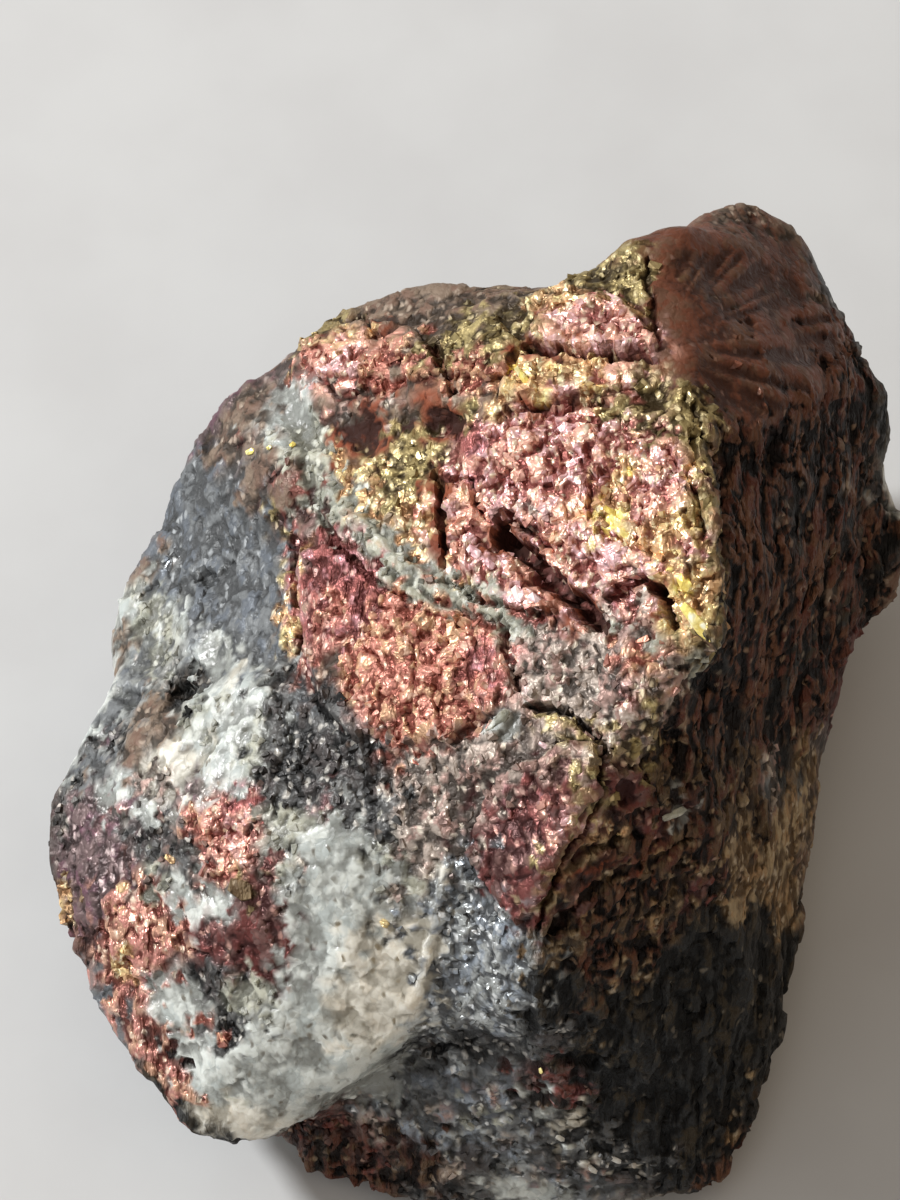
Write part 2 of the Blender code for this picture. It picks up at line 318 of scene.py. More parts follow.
class Mineral(Enum):
    """The minerals and tarnish colours that show on the stone."""

    ROSE = Finish((0.31, 0.105, 0.09), (0.93, 0.53, 0.41), (0.94, 0.59, 0.60), (1.0, 0.84, 0.64),
                  HACKLY, metallic=0.55, roughness=0.42, sparkle=0.25)
    GOLD = Finish((0.32, 0.17, 0.08), (0.92, 0.60, 0.33), (1.0, 0.80, 0.40), (1.0, 0.92, 0.60),
                  HACKLY, metallic=0.55, roughness=0.42, sparkle=0.25)
    COPPER = Finish((0.24, 0.07, 0.05), (0.70, 0.31, 0.24), (0.72, 0.44, 0.27), (0.94, 0.64, 0.48),
                    HACKLY)
    LEMON = Finish((0.85, 0.64, 0.15), (1.0, 0.89, 0.28), (1.0, 0.94, 0.48), (1.0, 1.0, 0.80),
                   SMOOTH, metallic=0.3, roughness=0.4)
    BLUSH = Finish((0.60, 0.34, 0.36), (0.98, 0.76, 0.78), (1.0, 0.84, 0.80), (1.0, 0.95, 0.95),
                   SMOOTH, metallic=0.3, roughness=0.4)
    MAGENTA = Finish((0.11, 0.028, 0.025), (0.42, 0.14, 0.13), (0.56, 0.26, 0.28), (0.72, 0.44, 0.40),
                     STRANDED)
    RUBY = Finish((0.04, 0.010, 0.009), (0.155, 0.045, 0.040), (0.17, 0.09, 0.08), (0.50, 0.28, 0.23),
                  DUSTY, metallic=0.45, sparkle=0.08)
    SATIN = Finish((0.16, 0.05, 0.038), (0.68, 0.31, 0.26), (0.78, 0.46, 0.32), (1.0, 0.80, 0.62),
                   STRANDED, metallic=0.55, roughness=0.38)
    OLIVE = Finish((0.05, 0.034, 0.014), (0.31, 0.24, 0.105), (0.46, 0.37, 0.17), (0.90, 0.76, 0.44),
                   GRAINY, sparkle=0.2)
    MAROON = Finish((0.055, 0.018, 0.010), (0.165, 0.055, 0.029), (0.14, 0.067, 0.040), (0.22, 0.12, 0.09),
                    SMOOTH, metallic=0.25, roughness=0.52, sparkle=0.05)
    UMBER = Finish((0.003, 0.001, 0.001), (0.165, 0.074, 0.040), (0.125, 0.040, 0.024), (0.26, 0.17, 0.11),
                   RIBBED, metallic=0.3, roughness=0.6, sparkle=0.06)
    BRICK = Finish((0.03, 0.011, 0.009), (0.19, 0.062, 0.048), (0.14, 0.085, 0.072), (0.45, 0.28, 0.22),
                   GRAINY, metallic=0.3, roughness=0.5, sparkle=0.06)
    PURPLE = Finish((0.045, 0.028, 0.028), (0.165, 0.113, 0.112), (0.145, 0.072, 0.095), (0.46, 0.36, 0.35),
                    DUSTY, metallic=0.3)
    CLAY = Finish((0.05, 0.036, 0.026), (0.225, 0.165, 0.12), (0.18, 0.11, 0.078), (0.40, 0.32, 0.25),
                  DUSTY, metallic=0.15, roughness=0.6)
    STEEL = Finish((0.065, 0.068, 0.07), (0.18, 0.19, 0.195), (0.13, 0.145, 0.165), (0.40, 0.42, 0.43),
                   DUSTY, metallic=0.25, roughness=0.55, sparkle=0.05)
    GRIT = Finish((0.012, 0.012, 0.012), (0.12, 0.12, 0.118), (0.075, 0.066, 0.064), (0.50, 0.48, 0.44),
                  GRAINY, metallic=0.3, roughness=0.5, sparkle=0.14)
    ASH = Finish((0.08, 0.065, 0.055), (0.50, 0.42, 0.36), (0.44, 0.29, 0.25), (0.80, 0.72, 0.60),
                 GRAINY, metallic=0.3, roughness=0.5, sparkle=0.1)
    PEARL = Finish((0.10, 0.105, 0.11), (0.47, 0.49, 0.48), (0.34, 0.38, 0.43), (0.88, 0.90, 0.90),
                   GRAINY, roughness=0.36, sparkle=0.16)
    COAL = Finish((0.001, 0.001, 0.001), (0.028, 0.029, 0.03), (0.045, 0.034, 0.02), (0.16, 0.14, 0.11),
                  STREAKY, metallic=0.2, roughness=0.6, sparkle=0.04)
    RUST = Finish((0.008, 0.003, 0.001), (0.13, 0.082, 0.042), (0.10, 0.034, 0.018), (0.32, 0.23, 0.14),
                  RIBBED, metallic=0.1, roughness=0.6, sparkle=0.08)
    TAN = Finish((0.10, 0.06, 0.026), (0.42, 0.32, 0.19), (0.38, 0.24, 0.12), (0.52, 0.43, 0.31),
                 STRANDED, metallic=0.0, roughness=0.65)
    CREAM = Finish((0.38, 0.355, 0.29), (0.84, 0.82, 0.73), (0.74, 0.69, 0.58), (0.24, 0.20, 0.13),
                   GLASSY, metallic=0.0, roughness=0.5, sparkle=0.07, glassy=0.9)
    QUARTZ = Finish((0.24, 0.25, 0.23), (0.66, 0.69, 0.65), (0.47, 0.51, 0.49), (0.17, 0.16, 0.13),
                    GLASSY, metallic=0.0, roughness=0.36, sparkle=0.09, glassy=1.0)
    VEIN = Finish((0.14, 0.14, 0.11), (0.47, 0.47, 0.38), (0.33, 0.34, 0.28), (0.68, 0.69, 0.60),
                  DUSTY, metallic=0.0, roughness=0.5, sparkle=0.12, glassy=0.8)
    SHELL = Finish((0.30, 0.105, 0.08), (0.84, 0.47, 0.36), (0.86, 0.54, 0.52), (1.0, 0.82, 0.64),
                   DUSTY, roughness=0.42)
    # Lining of the pits, the slot and the cracks: reddish brown, darkened as painted shade in those recesses.
    PIT = Finish((0.032, 0.008, 0.004), (0.25, 0.066, 0.030), (0.17, 0.040, 0.018), (0.2, 0.1, 0.06),
                 DUSTY, metallic=0.0, roughness=0.8, sparkle=0.0)


# Where each mineral shows: picture points with the patch's radius
SEEN_PATCHES: dict[Mineral, list[tuple[float, float, float]]] = {
    Mineral.ROSE: [
        (520, 470, 2.0), (560, 440, 1.8), (600, 460, 1.8), (540, 560, 1.5), (650, 500, 1.5), (660, 440, 1.0),
        (600, 570, 1.6), (640, 570, 1.0), (470, 545, 0.7), (500, 570, 0.8), (530, 600, 0.7), (600, 330, 1.2),
        (635, 340, 0.9), (580, 620, 0.7), (690, 560, 0.9), (340, 362, 0.7), (560, 815, 0.5), (505, 660, 0.4),
        (465, 500, 0.8), (225, 830, 0.8), (620, 700, 0.5),
    ],
    Mineral.SHELL: [
        (560, 338, 0.7), (588, 332, 0.8), (615, 334, 0.8), (638, 346, 0.6), (545, 345, 0.5), (345, 362, 0.6),
        (612, 374, 0.5), (424, 540, 0.5), (456, 560, 0.5), (634, 385, 0.4),
    ],
    Mineral.LEMON: [
        (615, 522, 1.0), (608, 506, 0.75), (624, 534, 0.7), (692, 592, 0.6), (684, 576, 0.5), (630, 475, 0.35),
        (512, 372, 0.3), (526, 386, 0.3), (545, 398, 0.25), (600, 470, 0.35),
    ],
    Mineral.GOLD: [
        (622, 510, 1.5), (590, 400, 0.6), (540, 378, 1.0), (590, 372, 0.9), (560, 305, 0.7), (695, 595, 1.0),
        # The patch at (128, 974) is a painted highlight in gold.
        (690, 470, 0.6), (618, 484, 1.2), (672, 530, 1.2), (420, 520, 0.9), (370, 485, 0.6), (128, 974, 0.5),
        (684, 566, 0.9), (655, 560, 0.6), (500, 405, 0.6), (670, 600, 0.5), (460, 590, 0.5), (345, 345, 0.5),
        (285, 610, 0.4), (598, 835, 0.3),
    ],
    Mineral.COPPER: [
        (400, 620, 1.6), (420, 680, 2.2), (370, 660, 1.4), (450, 640, 1.2), (400, 730, 1.2), (440, 720, 1.0),
        (320, 352, 0.7), (470, 375, 0.8), (380, 375, 0.7), (640, 655, 0.7), (238, 859, 0.6), (198, 1028, 0.4),
        (410, 360, 0.6), (340, 600, 0.8), (200, 815, 0.6),
    ],
    Mineral.SATIN: [
        (126, 925, 1.1), (150, 945, 1.0), (175, 1085, 0.6), (160, 1050, 0.6), (135, 1010, 0.6),
        (175, 930, 0.5), (215, 835, 0.6), (185, 825, 0.4),
    ],
    Mineral.MAGENTA: [
        (350, 575, 1.2), (360, 610, 0.8), (480, 670, 1.0), (485, 640, 0.7), (350, 640, 0.8), (515, 795, 0.5),
        (550, 1085, 0.5), (580, 1095, 0.4), (470, 440, 0.7), (300, 575, 0.5), (318, 620, 0.5),
        (235, 805, 0.5), (111, 819, 0.5), (295, 540, 0.4), (322, 800, 0.4), (535, 815, 0.4), (248, 850, 0.4),
        (592, 460, 0.3), (594, 490, 0.35), (592, 512, 0.25), (530, 525, 0.4), (570, 560, 0.4),
        (552, 450, 0.25), (650, 545, 0.3), (612, 600, 0.4), (480, 480, 0.4), (660, 470, 0.25),
    ],
    Mineral.RUBY: [
        (250, 925, 0.9), (225, 945, 0.9), (265, 960, 0.8), (500, 850, 1.1), (525, 870, 0.9), (515, 820, 0.9),
        (545, 840, 0.7), (525, 910, 0.6), (620, 790, 0.7), (255, 880, 0.7), (275, 985, 0.5), (200, 945, 0.6),
        (245, 866, 0.5), (490, 820, 0.7), (560, 800, 0.6), (280, 950, 0.5), (285, 525, 0.4), (505, 495, 0.4),
        (490, 512, 0.3), (530, 508, 0.25), (395, 365, 0.4), (425, 360, 0.35), (335, 372, 0.3), (700, 540, 0.3),
        (650, 830, 0.7), (690, 806, 0.6), (600, 870, 0.5), (578, 905, 0.5), (722, 872, 0.5), (700, 888, 0.5),
        (630, 862, 0.5),
    ],
    Mineral.BRICK: [
        (340, 1125, 0.9), (364, 1158, 1.0), (320, 1120, 0.7), (420, 1165, 0.8), (395, 1140, 0.7),
        (557, 1087, 0.7), (575, 1100, 0.5), (300, 1135, 0.7), (540, 1080, 0.4), (620, 690, 0.4),
        (620, 1180, 0.5), (445, 1150, 0.5), (272, 482, 0.6), (256, 502, 0.4), (291, 506, 0.4),
        (284, 524, 0.4), (240, 440, 0.3),
    ],
    Mineral.OLIVE: [
        (640, 410, 1.1), (680, 430, 1.0), (600, 415, 0.6), (690, 400, 0.8), (625, 275, 1.1), (595, 270, 0.8),
        (640, 300, 0.6), (480, 335, 1.2), (510, 325, 0.8), (400, 470, 1.1), (430, 455, 0.5), (385, 500, 0.6),
        (325, 335, 0.7), (700, 500, 0.5), (713, 560, 0.5), (712, 640, 0.5), (490, 633, 0.5), (545, 722, 0.4),
        (575, 742, 0.3), (595, 785, 0.25), (650, 760, 0.5), (610, 740, 0.4), (290, 570, 0.4), (244, 889, 0.4),
        (270, 510, 0.5), (66, 905, 0.3), (655, 710, 0.4), (470, 410, 0.5), (285, 640, 0.4), (612, 800, 0.35),
        (640, 745, 0.4), (404, 432, 0.6), (412, 448, 0.5), (676, 632, 0.35),
    ],
    Mineral.MAROON: [
        (700, 270, 2.0), (760, 300, 2.4), (720, 340, 2.0), (790, 350, 2.0), (740, 390, 1.8), (780, 260, 1.0),
        (680, 310, 1.4), (820, 330, 1.2), (700, 370, 1.0), (745, 228, 1.4), (770, 245, 1.2), (720, 240, 1.0),
        (760, 215, 1.0), (790, 250, 0.8),
    ],
    Mineral.UMBER: [
        (760, 470, 2.6), (740, 560, 2.2), (800, 430, 1.6), (850, 400, 1.6), (780, 620, 2.4), (820, 540, 1.8),
        (740, 680, 1.6), (700, 720, 1.2), (860, 470, 1.2), (640, 850, 1.0), (690, 850, 0.8), (620, 900, 1.0),
        (830, 640, 1.4), (600, 960, 0.9), (720, 880, 0.7), (860, 350, 0.8), (640, 950, 0.9), (790, 700, 1.0),
        (870, 560, 1.2), (880, 520, 1.0), (890, 590, 0.8), (852, 650, 1.2), (847, 685, 1.2), (840, 715, 1.2),
        (832, 745, 1.0), (822, 780, 0.7), (875, 620, 0.9), (862, 640, 0.9),
    ],
    Mineral.PURPLE: [
        (90, 840, 1.3), (100, 870, 0.9), (90, 910, 0.7), (80, 800, 0.7), (100, 740, 0.7), (190, 780, 0.6),
    ],
    Mineral.CLAY: [
        (235, 420, 1.2), (215, 455, 0.8), (250, 400, 0.6), (360, 300, 1.0), (400, 296, 1.0), (450, 300, 0.8),
        (500, 298, 0.7), (545, 288, 0.5), (742, 213, 1.2), (780, 235, 1.0), (725, 225, 0.7), (340, 665, 0.6),
        (430, 330, 0.5), (85, 770, 0.5), (130, 750, 0.5), (350, 395, 0.5), (400, 405, 0.6), (450, 395, 0.5),
        (147, 564, 0.6), (147, 698, 0.5), (122, 647, 0.6), (480, 410, 0.4), (480, 385, 0.3), (320, 400, 0.4),
        (332, 316, 0.9), (348, 304, 0.8), (310, 335, 0.5), (740, 205, 1.0), (715, 215, 0.7), (850, 480, 0.5),
        (830, 600, 0.4), (780, 520, 0.35), (760, 620, 0.35), (150, 712, 0.7), (136, 740, 0.5), (164, 730, 0.5),
        (480, 395, 0.5), (700, 205, 0.8), (762, 208, 0.8), (262, 465, 0.6), (252, 492, 0.6), (282, 496, 0.5),
        (270, 520, 0.4), (300, 530, 0.3),
    ],
    Mineral.STEEL: [
        (195, 510, 1.6), (185, 480, 1.2), (240, 550, 1.4), (250, 600, 1.3), (260, 640, 1.0), (225, 590, 1.0),
        (205, 545, 1.2), (170, 540, 0.9), (205, 575, 0.6), (165, 580, 0.6), (120, 700, 0.9), (100, 720, 0.7),
        (440, 960, 0.7), (300, 700, 0.6), (425, 1088, 0.9), (455, 1100, 0.8), (480, 1078, 0.7),
        (505, 1125, 0.9), (540, 1165, 0.7), (440, 1060, 0.6), (500, 1060, 0.5), (550, 1130, 0.5),
        (600, 1185, 0.7), (112, 712, 1.0), (86, 762, 1.0), (130, 690, 0.7), (78, 744, 1.2), (72, 760, 1.0),
        (90, 724, 1.1), (152, 642, 0.5), (172, 598, 0.5), (800, 790, 0.5), (770, 780, 0.4),
    ],
    Mineral.GRIT: [
        (300, 740, 1.5), (340, 760, 1.6), (330, 720, 1.0), (370, 790, 1.0), (300, 790, 1.0), (390, 820, 0.8),
        (400, 1110, 0.7), (520, 1105, 0.6), (560, 1150, 1.0), (480, 1045, 0.9), (610, 1150, 1.0),
        (470, 1160, 0.8), (425, 1055, 0.6), (233, 1028, 0.9), (390, 900, 0.4), (341, 885, 0.35),
        (640, 1170, 1.0), (205, 974, 0.7), (182, 688, 0.6), (285, 850, 0.4), (130, 835, 0.5), (160, 860, 0.6),
        (560, 1030, 0.8),
        (175, 840, 0.5), (290, 890, 0.4), (386, 922, 0.3), (78, 753, 0.8), (110, 730, 0.6), (95, 690, 0.6),
        (271, 993, 0.4), (270, 780, 0.5), (190, 860, 0.5), (225, 965, 0.4), (340, 690, 0.5), (270, 690, 0.6),
        (94, 742, 0.9), (74, 778, 0.8), (118, 738, 0.6),
    ],
    Mineral.ASH: [
        (560, 660, 1.4), (590, 690, 1.2), (550, 690, 1.0), (610, 650, 0.7), (560, 630, 0.7), (430, 790, 1.2),
        (460, 770, 1.2), (430, 830, 1.1), (410, 770, 1.0), (500, 760, 0.8), (420, 870, 0.8), (470, 800, 0.8),
        (600, 610, 0.6), (773, 774, 0.6), (480, 780, 0.8), (150, 780, 0.6), (660, 680, 0.6), (640, 600, 0.4),
        (525, 510, 0.8), (520, 490, 0.6), (450, 850, 0.6), (440, 735, 0.6), (200, 860, 0.5), (300, 870, 0.4),
        # Patches lower than picture point 1060 lie on the ledge, in the stone's shade: their pale ash partly
        # stands in for light there, painted light.
        (480, 1095, 0.6), (500, 1140, 0.6), (540, 1170, 0.6), (600, 1165, 0.5), (440, 1110, 0.5),
        (620, 725, 0.7), (167, 857, 0.4), (420, 1090, 0.5), (90, 720, 0.4), (330, 1150, 0.5), (380, 1132, 0.5),
        (450, 1168, 0.6), (350, 1118, 0.4), (400, 1155, 0.5), (390, 396, 0.4), (346, 404, 0.4),
    ],
    Mineral.PEARL: [
        (470, 980, 1.6), (480, 930, 1.3), (450, 900, 1.1), (500, 990, 1.1), (440, 1010, 0.9), (465, 860, 0.8),
        # From (485, 1130) on, the patches lie on the ledge, in the stone's shade: their pale grey partly stands
        # in for light there, painted light.
        (505, 960, 1.0), (170, 560, 0.5), (485, 1130, 0.7), (520, 1160, 0.6), (450, 1130, 0.6),
        (560, 1175, 0.5), (470, 1100, 0.6), (430, 1085, 0.5), (530, 1130, 0.5), (585, 1150, 0.4),
        (500, 1095, 0.4), (455, 1070, 0.4), (410, 1124, 0.6), (480, 1150, 0.6), (370, 1108, 0.4),
        (430, 1150, 0.4), (545, 1150, 0.4),
    ],
    Mineral.COAL: [
        (700, 1000, 2.6), (650, 1100, 2.4), (740, 960, 1.6), (720, 1080, 2.2), (560, 990, 1.2),
        (760, 930, 1.0), (600, 1020, 1.0), (690, 1160, 1.6), (620, 1060, 1.2), (540, 1020, 0.7),
        (700, 940, 1.0), (640, 1000, 1.2), (870, 600, 0.8), (800, 770, 0.6), (872, 505, 0.7),
        (884, 560, 0.8), (868, 540, 0.6), (560, 900, 0.3),
        (600, 858, 0.3), (640, 846, 0.3), (700, 690, 0.5), (780, 775, 0.6), (690, 1120, 1.2), (182, 688, 0.6),
        (125, 699, 0.4), (205, 578, 0.35), (198, 611, 0.3), (233, 1028, 0.35),
    ],
    Mineral.RUST: [
        (660, 880, 1.2), (700, 800, 1.2), (630, 840, 0.8), (660, 780, 0.9), (600, 880, 0.7), (620, 930, 0.8),
        (580, 920, 0.7), (740, 760, 1.0), (720, 840, 1.0), (560, 930, 0.6), (830, 560, 0.6), (760, 830, 0.8),
        (340, 1150, 1.2), (300, 1130, 0.9), (420, 1165, 1.0), (380, 1175, 0.8), (680, 920, 0.7),
        (540, 1100, 0.5), (590, 1000, 0.5),
    ],
    Mineral.TAN: [
        (750, 860, 1.2), (780, 880, 1.3), (790, 840, 1.0), (805, 800, 0.8), (740, 900, 0.9), (700, 870, 0.5),
        (652, 1081, 0.4), (732, 1140, 0.4), (751, 1076, 0.3), (640, 980, 0.3), (690, 910, 0.4),
        (812, 770, 0.6), (600, 1060, 0.35),
    ],
    Mineral.CREAM: [
        (390, 970, 1.2), (400, 1000, 0.9), (360, 1000, 0.9), (410, 940, 0.6), (240, 1120, 1.1),
        (200, 1115, 0.7), (172, 760, 0.7), (190, 774, 0.6), (430, 920, 0.4), (148, 770, 0.4), (370, 940, 0.8),
        # From (573, 1122) to (606, 1168): quartz on the shaded ledge given the lighter cream, partly painted
        # light.
        (345, 1040, 0.8), (206, 752, 0.4), (330, 990, 0.7), (225, 1090, 0.6), (573, 1122, 0.4),
        (560, 1140, 0.35), (590, 1158, 0.4), (606, 1168, 0.35), (477, 1122, 0.25),
    ],
    Mineral.QUARTZ: [
        (288, 405, 0.8), (300, 425, 0.6), (134, 610, 0.7), (172, 615, 0.6), (228, 729, 1.5), (240, 700, 0.7),
        (206, 704, 0.4), (320, 845, 1.1), (345, 870, 1.0), (375, 880, 0.9), (315, 905, 1.0), (325, 950, 1.1),
        (350, 915, 0.8), (300, 1000, 1.2), (260, 1070, 1.5), (300, 1050, 1.3), (215, 1080, 1.2),
        (172, 998, 0.8), (188, 1040, 0.6), (214, 918, 0.7), (180, 896, 0.6), (110, 795, 0.6), (377, 1081, 0.8),
        (200, 1065, 0.7), (500, 724, 0.4), (506, 1190, 0.7), (676, 815, 0.35), (390, 1050, 0.6),
        (560, 1188, 0.4), (150, 810, 0.4), (340, 1060, 0.8), (545, 1112, 0.3), (620, 1180, 0.4),
        (516, 1090, 0.3), (530, 1192, 0.8),
    ],
    Mineral.VEIN: [
        (294, 824, 0.9), (327, 840, 0.5), (385, 855, 0.6), (160, 640, 0.6), (250, 740, 0.6), (283, 870, 0.5),
        (260, 1000, 0.7), (350, 1030, 0.6), (470, 590, 0.3), (650, 640, 0.4), (700, 665, 0.4), (640, 600, 0.3),
        (240, 1005, 0.6), (410, 880, 0.5), (230, 1100, 0.5), (460, 1126, 0.5), (493, 1113, 0.5),
        (150, 880, 0.4), (148, 618, 0.6), (132, 598, 0.4), (196, 718, 0.5), (216, 742, 0.5), (236, 716, 0.6),
        (208, 730, 0.5), (250, 756, 0.5), (226, 698, 0.5),
    ],
    Mineral.PIT: [
        (364, 433, 0.9), (443, 421, 0.8), (662, 603, 0.45), (382, 328, 0.35), (620, 789, 0.5), (512, 543, 0.6),
        (530, 558, 0.7), (548, 575, 0.7), (566, 592, 0.8), (580, 606, 0.8), (589, 615, 0.7),
    ],
}


@dataclass(frozen=True)
class Streak:
    """A thin line of one mineral: the picture points that it runs through, and half its width."""

    mineral: Mineral
    line: list[PicturePoint]
    radius: float


STREAKS = [
    Streak(Mineral.VEIN, [(304, 432), (316, 458), (322, 480), (334, 498), (350, 517), (369, 535), (388, 557),
                          (415, 578), (442, 594), (475, 603), (507, 616), (522, 626)], 0.6),
    Streak(Mineral.BRICK, [(300, 484), (308, 508), (324, 530)], 0.35),
    Streak(Mineral.MAGENTA, [(330, 535), (352, 558), (376, 580), (404, 598)], 0.35),
    Streak(Mineral.GOLD, [(334, 450), (346, 476), (366, 504), (392, 534), (420, 562)], 0.32),
    Streak(Mineral.VEIN, [(560, 600), (590, 618), (640, 622)], 0.22),
    Streak(Mineral.GOLD, [(684, 603), (698, 620), (711, 643)], 0.3),
    Streak(Mineral.BLUSH, [(508, 664), (517, 684), (532, 702)], 0.14),
    Streak(Mineral.OLIVE, [(695, 434), (706, 470), (718, 520), (722, 580), (714, 640)], 0.3),
    Streak(Mineral.OLIVE, [(536, 715), (560, 716), (590, 745), (600, 775), (590, 800), (566, 835), (550, 870),
                           (542, 905)], 0.2),
    Streak(Mineral.GOLD, [(528, 312), (553, 301), (600, 296), (630, 306), (652, 330)], 0.25),
    Streak(Mineral.GOLD, [(300, 545), (296, 590), (290, 650)], 0.22),
    Streak(Mineral.PIT, [(500, 532), (528, 557), (558, 583), (592, 617)], 0.65),
    Streak(Mineral.PIT, [(438, 478), (440, 514), (444, 563)], 0.4),
    Streak(Mineral.PIT, [(530, 350), (579, 358), (648, 360)], 0.45),
    Streak(Mineral.PIT, [(604, 594), (641, 580), (660, 596), (668, 618)], 0.3),
    Streak(Mineral.PIT, [(500, 408), (560, 408), (606, 401)], 0.35),
    Streak(Mineral.TAN, [(681, 862), (668, 890), (654, 920), (641, 988)], 0.25),
    Streak(Mineral.TAN, [(799, 760), (808, 800), (812, 860)], 0.5),
    Streak(Mineral.TAN, [(735, 850), (728, 900)], 0.4),
    Streak(Mineral.TAN, [(770, 830), (764, 905)], 0.45),
    Streak(Mineral.TAN, [(655, 1060), (650, 1100)], 0.3),
    Streak(Mineral.TAN, [(736, 1120), (728, 1165)], 0.35),
    Streak(Mineral.TAN, [(755, 1060), (748, 1100)], 0.2),
    Streak(Mineral.TAN, [(600, 1000), (592, 1050)], 0.2),
    Streak(Mineral.TAN, [(560, 930), (552, 985)], 0.25),
    Streak(Mineral.TAN, [(612, 880), (622, 930), (615, 990)], 0.22),
    Streak(Mineral.RUST, [(700, 700), (690, 760), (700, 800)], 0.5),
    Streak(Mineral.COAL, [(700, 440), (716, 500), (722, 580), (716, 650), (735, 690)], 0.4),
    Streak(Mineral.COAL, [(790, 470), (800, 560), (790, 640)], 0.5),
    Streak(Mineral.RUST, [(815, 540), (830, 575)], 0.5),
    Streak(Mineral.COAL, [(770, 700), (820, 640), (850, 600)], 0.5),
    Streak(Mineral.UMBER, [(720, 322), (780, 316), (846, 322)], 0.16),
    Streak(Mineral.UMBER, [(725, 345), (790, 350), (850, 352)], 0.14),
    Streak(Mineral.UMBER, [(720, 362), (775, 380), (800, 392)], 0.16),
    Streak(Mineral.CLAY, [(700, 300), (760, 285), (830, 300)], 0.2),
    Streak(Mineral.CREAM, [(450, 850), (445, 900), (425, 970), (412, 1020)], 0.3),
    Streak(Mineral.QUARTZ, [(206, 640), (222, 650), (232, 675)], 0.35),
    Streak(Mineral.QUARTZ, [(210, 695), (202, 715)], 0.25),
    Streak(Mineral.CREAM, [(238, 668), (228, 685)], 0.2),
    Streak(Mineral.GOLD, [(118, 895), (128, 930), (122, 985)], 0.3),
    Streak(Mineral.ROSE, [(140, 905), (150, 950), (145, 990)], 0.4),
    Streak(Mineral.GOLD, [(64, 880), (66, 925)], 0.25),
    Streak(Mineral.SATIN, [(107, 988), (140, 1030), (165, 1070), (195, 1108)], 0.5),
    Streak(Mineral.SATIN, [(175, 1075), (190, 1100)], 0.6),
    Streak(Mineral.TAN, [(545, 900), (575, 868), (620, 845), (668, 826)], 0.3),
    Streak(Mineral.TAN, [(620, 880), (650, 852), (690, 842)], 0.25),
    Streak(Mineral.TAN, [(568, 960), (590, 900), (612, 868)], 0.22),
    Streak(Mineral.PIT, [(552, 884), (585, 866), (625, 858), (655, 862)], 0.3),
]


@dataclass(frozen=True)
class SeenCrystal:
    """A crystal that the photograph shows by itself: the picture points of its two ends, and its breadth."""

    mineral: Mineral
    ends: tuple[PicturePoint, PicturePoint]
    breadth: float


SEEN_CRYSTALS = [
    SeenCrystal(Mineral.LEMON, ((684, 604), (711, 642)), 1.1),
    SeenCrystal(Mineral.LEMON, ((604, 508), (616, 516)), 0.5),
    SeenCrystal(Mineral.LEMON, ((613, 516), (622, 528)), 0.6),
    SeenCrystal(Mineral.LEMON, ((618, 530), (628, 538)), 0.5),
    SeenCrystal(Mineral.GOLD, ((600, 520), (610, 530)), 0.5),
    SeenCrystal(Mineral.GOLD, ((622, 488), (630, 500)), 0.5),
    # A painted glint: a bright yellow crystal where light glints.
    SeenCrystal(Mineral.LEMON, ((541, 1068), (542, 1074)), 0.35),
    SeenCrystal(Mineral.BLUSH, ((514, 588), (522, 603)), 0.8),
    SeenCrystal(Mineral.BLUSH, ((530, 594), (542, 610)), 0.9),
    SeenCrystal(Mineral.BLUSH, ((470, 549), (480, 558)), 0.8),
    SeenCrystal(Mineral.BLUSH, ((486, 560), (494, 570)), 0.6),
    # A painted glint: a pale pink crystal where light glints.
    SeenCrystal(Mineral.BLUSH, ((541, 743), (548, 749)), 0.4),
    SeenCrystal(Mineral.LEMON, ((679, 575), (690, 592)), 1.0),
    SeenCrystal(Mineral.VEIN, ((662, 819), (686, 809)), 0.7),
    # White quartz bits on the shaded ledge, made cream to stand out lighter: partly painted light, and the first
    # also a painted glint.
    SeenCrystal(Mineral.CREAM, ((567, 1121), (580, 1124)), 0.7),
    SeenCrystal(Mineral.CREAM, ((586, 1166), (596, 1170)), 0.5),
    SeenCrystal(Mineral.CREAM, ((611, 1158), (620, 1162)), 0.45),
    SeenCrystal(Mineral.CREAM, ((556, 1136), (564, 1140)), 0.45),
    SeenCrystal(Mineral.VEIN, ((485, 736), (512, 710)), 0.9),
    SeenCrystal(Mineral.TAN, ((231, 884), (253, 897)), 1.6),
    SeenCrystal(Mineral.GOLD, ((560, 302), (580, 298)), 0.5),
    SeenCrystal(Mineral.GOLD, ((596, 296), (612, 300)), 0.5),
    SeenCrystal(Mineral.LEMON, ((522, 372), (528, 388)), 0.6),
    SeenCrystal(Mineral.LEMON, ((248, 453), (254, 451)), 0.5),
    SeenCrystal(Mineral.LEMON, ((268, 449), (272, 447)), 0.35),
    SeenCrystal(Mineral.LEMON, ((290, 447), (296, 444)), 0.45),
    SeenCrystal(Mineral.GOLD, ((381, 920), (388, 927)), 0.6),
    SeenCrystal(Mineral.GOLD, ((167, 856), (175, 863)), 0.6),
]


@dataclass(frozen=True)
class Groove:
    """A crack or notch along a line of picture points, or a ridge if its depth is below 0."""

    line: list[PicturePoint]
    width: float
    depth: float


@dataclass(frozen=True)
class Block:
    """A face that stands proud or lies low: its outline in picture points, and how far it is raised."""

    outline: list[PicturePoint]
    rise: float
    edge: float = 0.25


